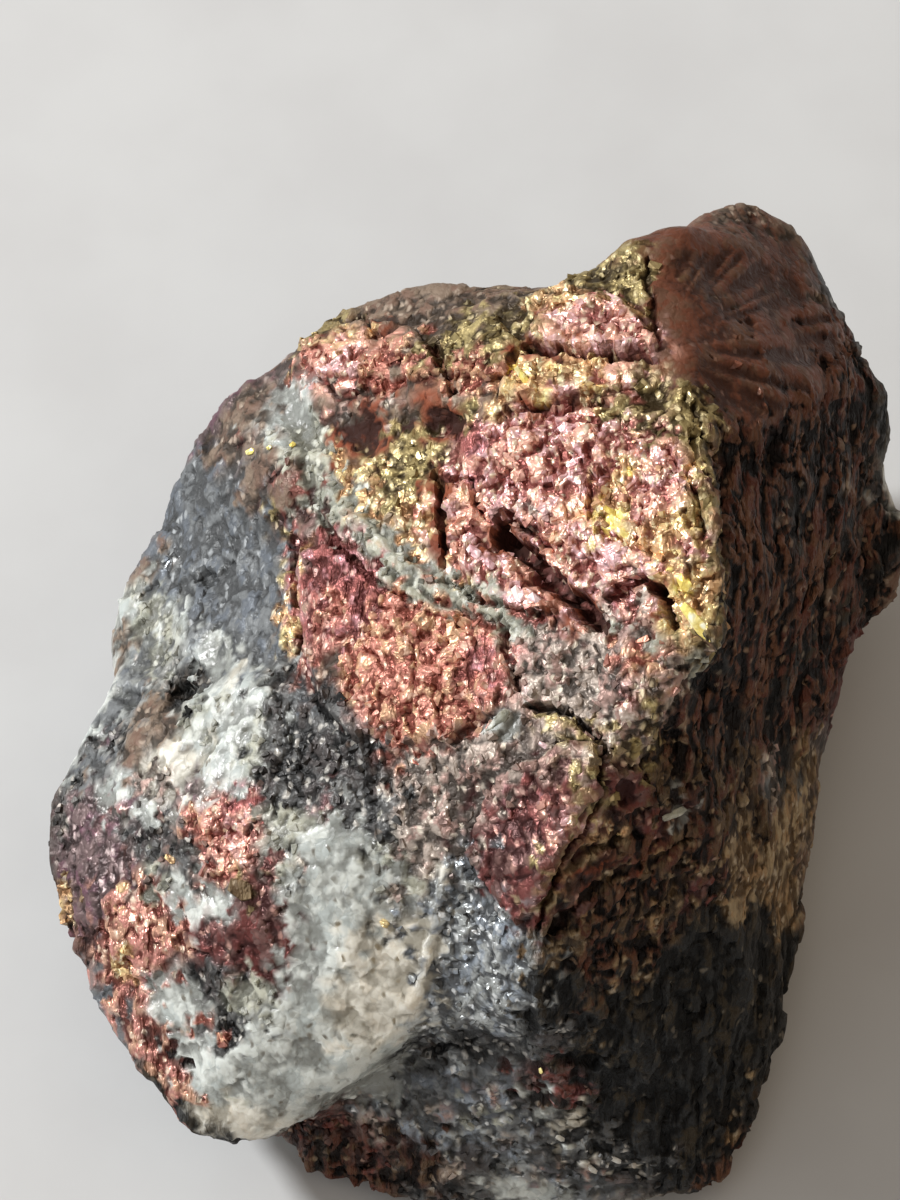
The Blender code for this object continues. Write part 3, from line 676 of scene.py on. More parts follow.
GROOVES = [
    Groove([(503, 514), (524, 528), (550, 550)], 0.45, 1.0),
    Groove([(497, 531), (524, 554), (552, 579), (576, 601), (593, 620)], 1.35, 2.2),
    Groove([(437, 474), (440, 514), (444, 567)], 0.34, 1.0),
    Groove([(443, 479), (470, 482), (478, 509), (500, 535)], 0.35, 0.6),
    Groove([(604, 596), (641, 579), (662, 596), (670, 622)], 0.5, 1.0),
    Groove([(655, 590), (664, 606), (668, 622)], 1.0, 1.4),
    Groove([(526, 345), (579, 358), (651, 359)], 0.5, 1.3),
    Groove([(505, 409), (560, 408), (612, 402)], 0.55, 0.7),
    Groove([(432, 345), (440, 370), (452, 392)], 0.4, 0.8),
    Groove([(529, 704), (566, 712), (593, 736), (608, 756)], 0.45, 1.2),
    Groove([(456, 742), (468, 728), (486, 712)], 0.35, 0.45),
    Groove([(294, 541), (296, 590), (297, 650)], 0.5, 0.9),
    Groove([(322, 514), (342, 548), (380, 584), (430, 616), (474, 632)], 0.35, 0.4),
    Groove([(446, 585), (480, 600), (540, 615)], 0.35, 0.5),
    Groove([(695, 434), (692, 487), (703, 530)], 0.6, 1.0),
    Groove([(646, 262), (652, 300), (655, 338)], 0.4, 0.5),
    Groove([(446, 860), (438, 905), (426, 960), (412, 1012)], 0.9, -0.25),
    Groove([(316, 458), (322, 480), (334, 498), (350, 517), (369, 535), (388, 557), (415, 578), (442, 594),
            (475, 603), (507, 616)], 1.4, -0.35),
    Groove([(427, 1049), (456, 1049)], 0.4, 0.8),
    Groove([(590, 445), (596, 480), (592, 516)], 0.35, 0.45),
    Groove([(508, 470), (520, 500), (512, 520)], 0.35, 0.45),
    Groove([(548, 430), (552, 470), (546, 500)], 0.3, 0.3),
    Groove([(636, 450), (646, 500), (640, 545)], 0.3, 0.35),
    Groove([(600, 530), (640, 552), (676, 556)], 0.35, 0.4),
    Groove([(500, 620), (503, 650), (520, 690)], 0.4, 0.7),
    Groove([(600, 756), (602, 800), (560, 870), (540, 930)], 0.35, 0.6),
    Groove([(360, 315), (382, 335), (420, 316)], 0.5, 0.5),
    Groove([(550, 880), (590, 850), (640, 835)], 0.6, 0.4),
    Groove([(560, 930), (596, 884), (650, 862), (690, 838)], 0.7, 0.35),
    Groove([(690, 400), (712, 450), (722, 520), (722, 600)], 0.4, 0.4),
    Groove([(448, 632), (458, 624)], 0.3, 0.6),
    Groove([(321, 375), (340, 398), (365, 392)], 0.4, 0.5),
    Groove([(300, 680), (330, 718), (352, 742)], 0.5, 0.3),
]

# Round holes: picture point, radius and depth
PITS = [
    (364, 434, 1.7, 0.4), (443, 421, 1.4, 0.5), (182, 688, 0.9, 1.1), (126, 697, 1.0, 0.7),
    (233, 1031, 0.9, 0.4), (203, 578, 0.7, 0.8), (620, 790, 1.0, 0.6), (379, 334, 0.6, 0.6),
    (566, 594, 0.9, 0.7), (95, 700, 0.7, 0.5), (580, 605, 0.8, 0.5),
]

BLOCKS = [
    Block([(526, 345), (553, 300), (602, 294), (640, 312), (655, 350), (579, 357)], 0.9),
    Block([(500, 392), (520, 356), (580, 362), (645, 362), (640, 385), (590, 396), (540, 402)], 0.7),
    Block([(300, 345), (330, 325), (400, 322), (430, 345), (440, 380), (380, 378), (320, 372)], 0.5),
    Block([(440, 345), (500, 318), (520, 340), (505, 375), (455, 385)], 0.6),
    Block([(450, 545), (475, 538), (505, 560), (540, 596), (560, 614), (520, 612), (470, 588)], 0.7),
    Block([(300, 555), (345, 540), (395, 578), (442, 612), (494, 634), (514, 668), (496, 704), (470, 716),
           (458, 745), (424, 734), (392, 756), (366, 728), (346, 738), (322, 700), (304, 650)], 0.55, 0.9),
    Block([(500, 780), (560, 745), (596, 745), (598, 790), (572, 830), (545, 900), (520, 925), (470, 850)],
          0.7, 0.3),
    Block([(604, 768), (640, 768), (650, 800), (615, 811)], 0.5),
    Block([(443, 482), (470, 484), (480, 520), (450, 540)], 0.5),
    Block([(684, 603), (694, 598), (712, 635), (708, 645)], 0.5, 0.12),
    Block([(480, 738), (488, 718), (512, 706), (518, 712), (500, 736)], 0.45, 0.12),
    Block([(100, 900), (125, 880), (165, 915), (175, 950), (150, 985), (115, 960)], 0.4, 0.3),
    Block([(510, 430), (600, 425), (690, 440), (692, 520), (700, 590), (640, 570), (590, 560), (520, 520)],
          0.4, 0.4),
    Block([(120, 600), (140, 590), (150, 615), (125, 640)], 0.4, 0.3),
    Block([(540, 1065), (600, 1062), (606, 1105), (560, 1110)], 0.5, 0.3),
]

# Fine ridges that fan out across the smooth face: picture point of their meeting, and the face's outline
FAN_MEETING: PicturePoint = (655.0, 345.0)
FAN_FACE = [(655, 245), (760, 240), (850, 320), (850, 372), (780, 425), (715, 415), (665, 365)]


@dataclass
class MineralMap:
    """Tells which mineral shows where, from patches spread over the whole stone.

    Wander is how far the patches' edges bend, jumble how far single grains may stray, hidden_facing how squarely
    a place must face away from the camera to count as hidden, and nearest_square the least squared distance that
    a patch is taken to be from a point.
    """

    sight: Sight
    surface: BVHTree
    hidden_count: int = 150
    hidden_seed: int = 11
    hidden_facing: float = 0.35
    hidden_sizes: tuple[float, float] = (1.0, 2.4)
    wander: float = 0.5
    jumble: float = 2.2
    pit_depth: float = 1.6
    nearest_square: float = 0.003
    batch: int = 20_000
    centres: list[tuple[float, float, float]] = field(default_factory=list)
    radii: list[float] = field(default_factory=list)
    minerals: list[Mineral] = field(default_factory=list)

    HIDDEN_MIX = (
        (Mineral.UMBER, 0.26), (Mineral.COAL, 0.14), (Mineral.RUST, 0.12), (Mineral.STEEL, 0.12),
        (Mineral.QUARTZ, 0.10), (Mineral.CLAY, 0.08), (Mineral.PURPLE, 0.07), (Mineral.RUBY, 0.06),
        (Mineral.GRIT, 0.05),
    )

    def place_seen(self) -> None:
        """Puts each listed patch where the camera's ray through its picture point meets the stone."""
        for mineral, patches in SEEN_PATCHES.items():
            for across, down, radius in patches:
                self.aim_at(mineral, (across, down), radius)
        for streak in STREAKS:
            for start, end in zip(streak.line, streak.line[1:]):
                count = max(1, round(math.dist(start, end) * self.sight.point_size / (streak.radius * 1.2)))
                for part in range(count):
                    spot = tuple(low + (high - low) * part / count for low, high in zip(start, end))
                    self.aim_at(streak.mineral, spot, streak.radius)

    def aim_at(self, mineral: Mineral, spot: PicturePoint, radius: float) -> None:
        """Adds a patch where the camera's ray through a picture point meets the stone, if it does.

        A patch of pit lining and painted shade gets a second one below it, for the bottom of the hole.
        """
        way = self.sight.ray(spot)
        hit = self.surface.ray_cast(Vector(self.sight.eye), Vector(way))[0]
        if hit is not None:
            self.add(mineral, hit, radius)
            if mineral is Mineral.PIT:
                self.add(mineral, np.array(hit) + way * self.pit_depth, radius)

    def add(self, mineral: Mineral, centre: Any, radius: float) -> None:
        """Adds one patch."""
        self.minerals.append(mineral)
        self.centres.append(tuple(centre))
        self.radii.append(radius)

    def place_hidden(self, points: np.ndarray, normals: np.ndarray) -> None:
        """Spreads patches of the same minerals over the sides that the camera doesn't see.

        Args:
            points: places on the stone's surface.
            normals: the surface's directions there.
        """
        dice = np.random.default_rng(self.hidden_seed)
        away = np.flatnonzero(normals @ self.sight.back < -self.hidden_facing)
        picked = dice.choice(away, self.hidden_count, replace=False)
        kinds, shares = zip(*self.HIDDEN_MIX)
        draws = dice.choice(len(kinds), self.hidden_count, p=np.array(shares) / sum(shares))
        sizes = dice.uniform(*self.hidden_sizes, self.hidden_count)
        for place, draw, size in zip(points[picked], draws, sizes):
            self.add(kinds[draw], place, size)

    def shares(self, points: np.ndarray) -> np.ndarray:
        """How much each patch has to say about each point.

        Args:
            points: one row of three for each point.

        Returns:
            Shares that add up to 1, with one row for each point and one column for each patch.
        """
        centres, radii = np.array(self.centres, np.float32), np.array(self.radii, np.float32)
        traits = shards(warp(points, 1.0, 0.2, 521), 0.75, 511)[1]
        moved = warp(warp(points, 2.2, self.wander, 501), 0.9, self.wander * 0.5, 531)
        moved = (moved + self.jumble * (traits * 2.0 - 1.0) ** 5).astype(np.float32)
        gap = (moved**2).sum(1)[:, None] + (centres**2).sum(1)[None, :] - 2.0 * moved @ centres.T
        pull = radii**2 / np.maximum(gap, self.nearest_square)
        for _ in range(2):
            pull *= pull
        return pull / pull.sum(1, keepdims=True)

    def strongest(self, points: np.ndarray) -> list[Mineral]:
        """The mineral of the patch that has most to say about each point."""
        return [self.minerals[index] for index in self.shares(points).argmax(1)]

    def blend(self, points: np.ndarray) -> dict[str, np.ndarray]:
        """The finish at each point, mixed where patches meet.

        Args:
            points: one row of three for each point.

        Returns:
            An array for each of a finish's traits, with one row for each point.
        """
        table = np.array([np.concatenate(list(mineral.value.traits().values())) for mineral in self.minerals])
        batches = [points[start : start + self.batch] for start in range(0, len(points), self.batch)]
        result = np.concatenate([self.shares(batch) @ table for batch in batches])
        sample = self.minerals[0].value.traits()
        ends = np.cumsum([len(numbers) for numbers in sample.values()])[:-1]
        parts = np.split(result, ends, axis=1)
        return {name: part[:, 0] if part.shape[1] == 1 else part for name, part in zip(sample, parts)}


# Node trees


class Term:
    """A socket's value in a node tree. Arithmetic on it adds Math nodes."""

    def __init__(self, maker: NodeMaker, socket: bpy.types.NodeSocket) -> None:
        """Keeps the tree's maker and the socket."""
        self.maker = maker
        self.socket = socket

    def math(self, operation: str, *values: Any) -> Term:
        """The result of a Math node on these values."""
        return self.maker.node("ShaderNodeMath", {"operation": operation}, dict(enumerate(values)))

    def __add__(self, other: Any) -> Term:
        """This value plus another."""
        return self.math("ADD", self, other)

    __radd__ = __add__

    def __mul__(self, other: Any) -> Term:
        """This value times another."""
        return self.math("MULTIPLY", self, other)

    __rmul__ = __mul__

    def __sub__(self, other: Any) -> Term:
        """This value less another."""
        return self.math("SUBTRACT", self, other)

    def __rsub__(self, other: Any) -> Term:
        """A number less this value."""
        return self.math("SUBTRACT", other, self)

    def size(self) -> Term:
        """This value without its sign."""
        return self.math("ABSOLUTE", self)

    def step(self, low: float, high: float) -> Term:
        """0 below low, 1 above high, and smooth between them."""
        settings = {"interpolation_type": "SMOOTHSTEP"}
        return self.maker.node("ShaderNodeMapRange", settings, {0: self, 1: low, 2: high, 3: 0.0, 4: 1.0})


class NodeMaker:
    """Adds nodes to one tree, each with its settings and inputs."""

    def __init__(self, tree: bpy.types.NodeTree) -> None:
        """Starts from an empty tree."""
        self.tree = tree
        self.tree.nodes.clear()

    def node(self, kind: str, settings: dict[str, Any], inputs: dict[Any, Any], output: Any = 0) -> Term:
        """Adds one node.

        Args:
            kind: Blender's name for the node's type.
            settings: properties to set before anything is linked.
            inputs: a value or a Term for each socket, by its name or place.
            output: the name or place of the output that is wanted.

        Returns:
            That output.
        """
        made = self.tree.nodes.new(kind)
        for name, value in settings.items():
            setattr(made, name, value)
        for place, value in inputs.items():
            if isinstance(value, Term):
                self.tree.links.new(value.socket, made.inputs[place])
            else:
                made.inputs[place].default_value = value
        return Term(self, made.outputs[output])

    def sibling(self, term: Term, output: str) -> Term:
        """Another output of the node that a term comes from."""
        return Term(self, term.socket.node.outputs[output])

    def mix(self, share: Any, first: Any, second: Any) -> Term:
        """Two colours mixed, by the share of the second."""
        return self.node("ShaderNodeMix", {"data_type": "RGBA"}, {0: share, 6: first, 7: second}, 2)

    def vector(self, operation: str, first: Any, second: Any, output: Any = 0) -> Term:
        """The result of a Vector Math node."""
        return self.node("ShaderNodeVectorMath", {"operation": operation}, {0: first, 1: second}, output)

    def scaled(self, places: Term, *scale: float) -> Term:
        """Places multiplied by one number, or by three."""
        return self.vector("MULTIPLY", places, scale if len(scale) == 3 else scale * 3)

    def stored(self, name: str, output: str) -> Term:
        """An attribute that is stored on the mesh."""
        return self.node("ShaderNodeAttribute", {"attribute_name": name}, {}, output)

    def split(self, vector: Term) -> list[Term]:
        """The three parts of a vector."""
        first = self.node("ShaderNodeSeparateXYZ", {}, {0: vector})
        return [self.sibling(first, axis) for axis in "XYZ"]

    def noise(self, places: Term, size: float, detail: float, output: str = "Fac") -> Term:
        """Noise whose lumps are about that size, in the unit of the places."""
        inputs = {"Vector": places, "Scale": 1.0 / size, "Detail": detail}
        return self.node("ShaderNodeTexNoise", {}, inputs, output)

    def finish(self, kind: str, surface: Term) -> None:
        """Joins a shader to the tree's output."""
        made = self.tree.nodes.new(kind)
        self.tree.links.new(surface.socket, made.inputs["Surface"])


@dataclass(frozen=True)
class StoneFinish:
    """The stone's material, whose nodes break the colours and shine stored on the mesh into grains, with painted
    shade in creases and cracks and painted glints on some grains.

    Grain, chip and fibre are the widths of the small faces, the larger ones and the strands, and the tilts are
    how steeply the faces of those two sizes lean.
    """

    grain: float = 0.46
    chip: float = 1.25
    fibre: float = 0.42
    fibre_stretch: float = 7.0
    grain_tilt: float = 0.22
    chip_tilt: float = 0.6
    glass_radius: Colour = (0.0009, 0.0009, 0.00085)

    def cells(self, maker: NodeMaker, places: Term, size: float) -> tuple[Term, Term, Term]:
        """Small flat faces, each with its own random colour and tilt.

        Args:
            maker: adds the nodes.
            places: points in millimetres.
            size: how wide a face is.

        Returns:
            The faces' random colours, their tilted heights and each point's nearness to its face's middle.
        """
        scaled = maker.scaled(places, 1.0 / size)
        colour = maker.node("ShaderNodeTexVoronoi", {}, {"Vector": scaled, "Scale": 1.0}, "Color")
        offset = maker.vector("SUBTRACT", scaled, maker.sibling(colour, "Position"))
        tilt = maker.vector("SUBTRACT", colour, (0.5, 0.5, 0.5))
        height = maker.vector("DOT_PRODUCT", offset, tilt, "Value")
        return colour, height, 1.0 - maker.sibling(colour, "Distance") * 1.3

    def make(self) -> bpy.types.Material:
        """The finished material."""
        material = bpy.data.materials.new("broken ore")
        material.use_nodes = True
        maker = NodeMaker(material.node_tree)
        straight = maker.scaled(maker.node("ShaderNodeTexCoord", {}, {}, "Object"), 1.0 / MM)
        swirl = maker.vector("SUBTRACT", maker.noise(straight, 0.9, 2.0, "Color"), (0.5, 0.5, 0.5))
        places = maker.vector("ADD", straight, maker.scaled(swirl, 0.7))

        grains, grain_tilt, grain_dome = self.cells(maker, maker.scaled(places, 1.1, 0.75, 1.0), self.grain)
        chips, chip_tilt, chip_dome = self.cells(maker, maker.scaled(places, 1.15, 0.8, 0.9), self.chip)
        strands = maker.scaled(places, 1.0, 1.0 / self.fibre_stretch, 0.22)
        fine, coarse = maker.noise(strands, self.fibre, 3.0), maker.noise(strands, self.fibre * 3.0, 2.0)
        fibres = fine * 0.6 + coarse * 0.4
        mottle = maker.noise(places, 2.2, 4.0)
        stain = maker.noise(maker.vector("ADD", places, (31.0, 17.0, 5.0)), 1.8, 3.0)
        fold = (maker.noise(maker.vector("ADD", places, (3.0, 47.0, 15.0)), 1.1, 2.0) - 0.5).size()

        metallic, roughness, relief = maker.split(maker.stored("shine", "Vector"))
        fibrous, sparkle, glassy = maker.split(maker.stored("make_up", "Vector"))
        proud = maker.stored("proud", "Fac")
        grain_red, grain_green, grain_blue = maker.split(grains)
        chip_red, chip_green, _ = maker.split(chips)

        # Tone mixes random mottle and grain colour with painted shade that follows the bump: darker in folds,
        # grain seams and cracks, lighter on grain middles and edges.
        tone_and_crease_shade = fold * 1.3 + grain_dome * 0.2 + chip_dome * 0.2 + chip_red * 0.25 + (mottle - 0.5) * 1.4
        tone_and_crease_shade = tone_and_crease_shade + (fibres.step(0.42, 0.70) - tone_and_crease_shade) * fibrous + proud * 0.5
        stain = stain + (chip_green - 0.5) * 0.2 + (grain_red - 0.5) * 0.12
        plain, tinted = maker.stored("light", "Color"), maker.stored("tint", "Color")
        light = maker.mix(stain.step(0.46, 0.60), plain, tinted)
        colour = maker.mix(tone_and_crease_shade.step(0.05, 0.75), maker.stored("dark", "Color"), light)
        # Painted glints: the spark colour on a share of grain middles, which in the quartz is a dark speck
        # instead.
        painted_glints_and_specks = (sparkle - grain_green).step(-0.03, 0.03) * grain_dome.step(0.1, 0.8)
        colour = maker.mix(painted_glints_and_specks, colour, maker.stored("spark", "Color"))

        height = grain_tilt * self.grain_tilt + chip_tilt * self.chip_tilt
        height = height + grain_dome * 0.05 + chip_dome * 0.07 + fold * 0.8
        height = height * (1.0 - fibrous * 0.5) + (fibres - 0.5) * fibrous * 1.5
        bump = maker.node(
            "ShaderNodeBump", {}, {"Strength": 1.0, "Distance": MM, "Height": height * relief}, "Normal"
        )
        polish = roughness + (grain_blue - 0.5) * 0.2
        ore = maker.node(
            "ShaderNodeBsdfPrincipled",
            {},
            {
                "Base Color": colour,
                "Metallic": metallic,
                "Roughness": polish,
                "Specular IOR Level": 0.3,
                "Normal": bump,
            },
        )
        glass = maker.node(
            "ShaderNodeBsdfPrincipled",
            {},
            {
                "Base Color": colour,
                "Roughness": polish,
                "Normal": bump,
                "IOR": 1.54,
                "Subsurface Weight": 0.55,
                "Subsurface Radius": self.glass_radius,
                "Subsurface Scale": 1.0,
            },
        )
        edge = (glassy + (mottle - 0.5) * 0.5).step(0.42, 0.56)
        both = maker.node("ShaderNodeMixShader", {}, {0: edge, 1: ore, 2: glass})
        maker.finish("ShaderNodeOutputMaterial", both)
        return material


# The stone


def select_only(piece: bpy.types.Object) -> None:
    """Makes this piece the only one selected, and the active one."""
    bpy.ops.object.select_all(action="DESELECT")
    piece.select_set(True)
    bpy.context.view_layer.objects.active = piece


def segment_gap(spots: np.ndarray, start: np.ndarray, end: np.ndarray) -> np.ndarray:
    """Each picture point's distance from a straight line between two others."""
    way = end - start
    along = np.clip(((spots - start) @ way) / (way @ way), 0.0, 1.0)
    return np.linalg.norm(spots - start - along[:, None] * way, axis=1)


def depth_inside(spots: np.ndarray, outline: list[PicturePoint]) -> np.ndarray:
    """How far each picture point lies inside an outline, in picture points, and below 0 outside it."""
    corners = np.array(outline, float)
    inside = np.zeros(len(spots), bool)
    distance = np.full(len(spots), 1e9)
    for start, end in zip(corners, np.roll(corners, -1, axis=0)):
        distance = np.minimum(distance, segment_gap(spots, start, end))
        crosses = (start[1] > spots[:, 1]) != (end[1] > spots[:, 1])
        slope = (end[0] - start[0]) / (end[1] - start[1] or 1e-9)
        inside ^= crosses & (spots[:, 0] < start[0] + (spots[:, 1] - start[1]) * slope)
    return np.where(inside, distance, -distance)


def store_looks(mesh: bpy.types.Mesh, finish: dict[str, np.ndarray], proud: np.ndarray) -> None:
    """Stores what the stone's material reads on a mesh.

    Args:
        mesh: the mesh to store it on.
        finish: the blended finish of each of its points.
        proud: how far each point stands out, from -1 to 1, for painted shade in cracks and a painted highlight
            on edges.
    """
    for name in ("dark", "light", "tint", "spark"):
        opaque = np.column_stack([finish[name], np.ones(len(mesh.vertices))])
        mesh.attributes.new(name, "FLOAT_COLOR", "POINT").data.foreach_set("color", opaque.ravel())
    shine = np.column_stack([finish["metallic"], finish["roughness"], finish["bump"]])
    make_up = np.column_stack([np.minimum(1.0, finish["fibre"] * 3.5), finish["sparkle"], finish["glassy"]])
    for name, values in {"shine": shine, "make_up": make_up}.items():
        mesh.attributes.new(name, "FLOAT_VECTOR", "POINT").data.foreach_set("vector", values.ravel())
    mesh.attributes.new("proud", "FLOAT", "POINT").data.foreach_set("value", proud)


@dataclass
class Stone:
    """The whole specimen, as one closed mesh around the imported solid."""

    node: str = "bornite_specimen"
    voxel: float = 0.26
    most_triangles: int = 190_000
    foot: float = 1.2
    sight: Sight = field(default_factory=Sight)
    material: bpy.types.Material | None = None
    piece: bpy.types.Object | None = None
    minerals: MineralMap | None = None

    def read(self) -> tuple[np.ndarray, np.ndarray]:
        """The mesh's points in millimetres, and their directions."""
        mesh = self.piece.data
        points = np.zeros(len(mesh.vertices) * 3, np.float32)
        normals = np.zeros(len(mesh.vertices) * 3, np.float32)
        mesh.vertices.foreach_get("co", points)
        mesh.vertex_normals.foreach_get("vector", normals)
        return points.reshape(-1, 3).astype(float) / MM, normals.reshape(-1, 3).astype(float)

    def write(self, points: np.ndarray) -> None:
        """Moves the mesh's points to these places, in millimetres."""
        self.piece.data.vertices.foreach_set("co", (points * MM).astype(np.float32).ravel())
        self.piece.data.update()

    def block_out(self) -> None:
        """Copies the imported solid, closes its seams and gives it an even, fine skin."""
        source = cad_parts[self.node]
        self.piece = bpy.data.objects.new("ore_stone", source.data.copy())
        self.piece.data.materials.clear()
        bpy.context.scene.collection.objects.link(self.piece)
        select_only(self.piece)
        bpy.ops.object.mode_set(mode="EDIT")
        bpy.ops.mesh.select_all(action="SELECT")
        bpy.ops.mesh.remove_doubles(threshold=1e-6)
        bpy.ops.object.mode_set(mode="OBJECT")
        rounding = self.piece.modifiers.new("rounding", "SUBSURF")
        rounding.levels = rounding.render_levels = 1
        skin = self.piece.modifiers.new("skin", "REMESH")
        skin.mode = "VOXEL"
        skin.voxel_size = self.voxel * MM
        for name in ("rounding", "skin"):
            bpy.ops.object.modifier_apply(modifier=name)

    def surface(self) -> BVHTree:
        """The mesh as it is now, in millimetres, for rays to hit."""
        faces = [tuple(face.vertices) for face in self.piece.data.polygons]
        return BVHTree.FromPolygons([Vector(point) for point in self.read()[0]], faces)

    def lay_minerals(self) -> None:
        """Spreads the mineral patches over the blocked-out stone."""
        self.minerals = MineralMap(self.sight, self.surface())
        self.minerals.place_seen()
        self.minerals.place_hidden(*self.read())

    def seen_relief(self, points: np.ndarray) -> np.ndarray:
        """Heights of the cracks, pits, proud blocks and fanned ridges that the camera sees.

        Args:
            points: one row of three for each point.

        Returns:
            One height for each point.
        """
        scale = self.sight.point_size
        spots = self.sight.picture(warp(warp(points, 1.8, 0.35, 301), 0.7, 0.12, 311))
        height = np.zeros(len(points))
        for block in BLOCKS:
            inside = depth_inside(spots, block.outline) * scale
            height += block.rise * ramp(inside, -block.edge / 2, block.edge / 2)
        pinch = 1.0 + 0.4 * clouds(points, 1.4, 321)[:, 0]
        for groove in GROOVES:
            line = np.array(groove.line, float)
            gaps = [segment_gap(spots, start, end) for start, end in zip(line, line[1:])]
            gap = np.minimum.reduce(gaps) * scale * pinch
            height -= groove.depth * (1.0 - ramp(gap, groove.width * 0.2, groove.width * 0.6))
        for across, down, radius, depth in PITS:
            gap = np.linalg.norm(spots - (across, down), axis=1) * scale
            height -= depth * (1.0 - ramp(gap, radius * 0.35, radius))
        return height + self.fan_relief(self.sight.picture(points))

    def fan_relief(self, spots: np.ndarray) -> np.ndarray:
        """Heights of the fine ridges on the smooth face, which spread from one meeting point."""
        inside = depth_inside(spots, FAN_FACE) * self.sight.point_size
        arm = spots - FAN_MEETING
        angle = np.arctan2(arm[:, 1], arm[:, 0])
        reach = np.linalg.norm(arm, axis=1)
        polar = np.stack([angle * 9.0, reach / 90.0, np.zeros(len(spots))], axis=1)
        ridges = 0.24 * soft_noise(polar, 1.0, 71)[:, 0]
        ridges += 0.16 * soft_noise(polar * (2.2, 1.6, 1.0), 1.0, 73)[:, 0]
        return ridges * ramp(inside, 0.0, 1.2) * ramp(reach, 30.0, 110.0)

    def broken_relief(self, points: np.ndarray) -> np.ndarray:
        """Heights of the minerals' own break: flat faces of two sizes, creases and fibres.

        Args:
            points: one row of three for each point.

        Returns:
            One height for each point.
        """
        finish = self.minerals.blend(points)
        bent = warp(points, 2.4, 0.6, 401)
        soft = finish["glassy"]
        height = finish["coarse"] * facets(bent, 2.6, 21)
        waves = clouds(bent, 1.8, 57)[:, 0] * soft * 1.5
        height += finish["middle"] * (facets(bent, 1.1, 51) * (1.0 - soft) + waves)
        height -= finish["crease"] * 2.0 * (1.0 - ramp(np.abs(clouds(bent, 2.0, 63)[:, 0]), 0.0, 0.16))
        height += finish["fibre"] * 1.3 * clouds(bent * (1.0, 0.18, 0.22), 1.3, 91)[:, 0]
        height += finish["fibre"] * 0.9 * clouds(bent * (1.0, 0.13, 0.18), 0.7, 93, 1)[:, 0]
        return height

    def sculpt(self) -> None:
        """Cuts the seen features and then the minerals' break into the skin, and keeps the foot flat."""
        points, normals = self.read()
        facing = ramp(normals @ self.sight.back, 0.05, 0.35)
        low, high = points.min(0), points.max(0)
        grip = ramp(points[:, 2], 0.0, self.foot)
        points = points + normals * (self.seen_relief(points) * facing * grip)[:, None]
        self.write(points)
        points, normals = self.read()
        points = points + normals * (self.broken_relief(points) * grip)[:, None]
        self.write(np.clip(points, low, high))

    def thin(self) -> None:
        """Joins the flattest faces until the mesh is small enough."""
        triangles = sum(len(face.vertices) - 2 for face in self.piece.data.polygons)
        if triangles > self.most_triangles:
            select_only(self.piece)
            thinner = self.piece.modifiers.new("thinner", "DECIMATE")
            thinner.ratio = self.most_triangles / triangles
            bpy.ops.object.modifier_apply(modifier=thinner.name)

    def proudness(self, rounds: int = 6) -> np.ndarray:
        """How far each point stands out of the smoothed shape: below 0 in a crack, above 0 on an edge."""
        points, normals = self.read()
        ends = np.zeros(len(self.piece.data.edges) * 2, np.int32)
        self.piece.data.edges.foreach_get("vertices", ends)
        first, second = ends.reshape(-1, 2).T
        here, there = np.concatenate([first, second]), np.concatenate([second, first])
        count = np.bincount(here, minlength=len(points))[:, None]
        smooth = points
        for _ in range(rounds):
            sums = [np.bincount(here, smooth[there, axis], len(points)) for axis in range(3)]
            smooth = np.stack(sums, axis=1) / count
        return ((points - smooth) * normals).sum(1)

    def dress(self) -> None:
        """Stores each point's colours and shine on the mesh, and gives it the material."""
        finish = self.minerals.blend(self.read()[0])
        # The proudness becomes painted shade in cracks and a painted highlight on edges.
        store_looks(self.piece.data, finish, np.clip(self.proudness() / 0.12, -1.0, 1.0))
        self.piece.data.materials.append(self.material)
        select_only(self.piece)
        bpy.ops.object.shade_smooth_by_angle(angle=math.radians(35.0))

    def build(self) -> bpy.types.Object:
        """Makes the stone from start to end.

        Returns:
            The finished piece.
        """
        for step in (self.block_out, self.lay_minerals, self.sculpt, self.thin, self.dress):
            began = time.time()
            step()
            log.info("%s took %.1f s", step.__name__, time.time() - began)
        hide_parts(self.node)
        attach(self.piece, "root")
        return self.piece


@dataclass
class Setting:
    """How a piece's crystals sit: one row for each crystal, in millimetres."""

    places: np.ndarray
    along: np.ndarray
    out: np.ndarray
    sizes: np.ndarray
    finish: dict[str, np.ndarray]


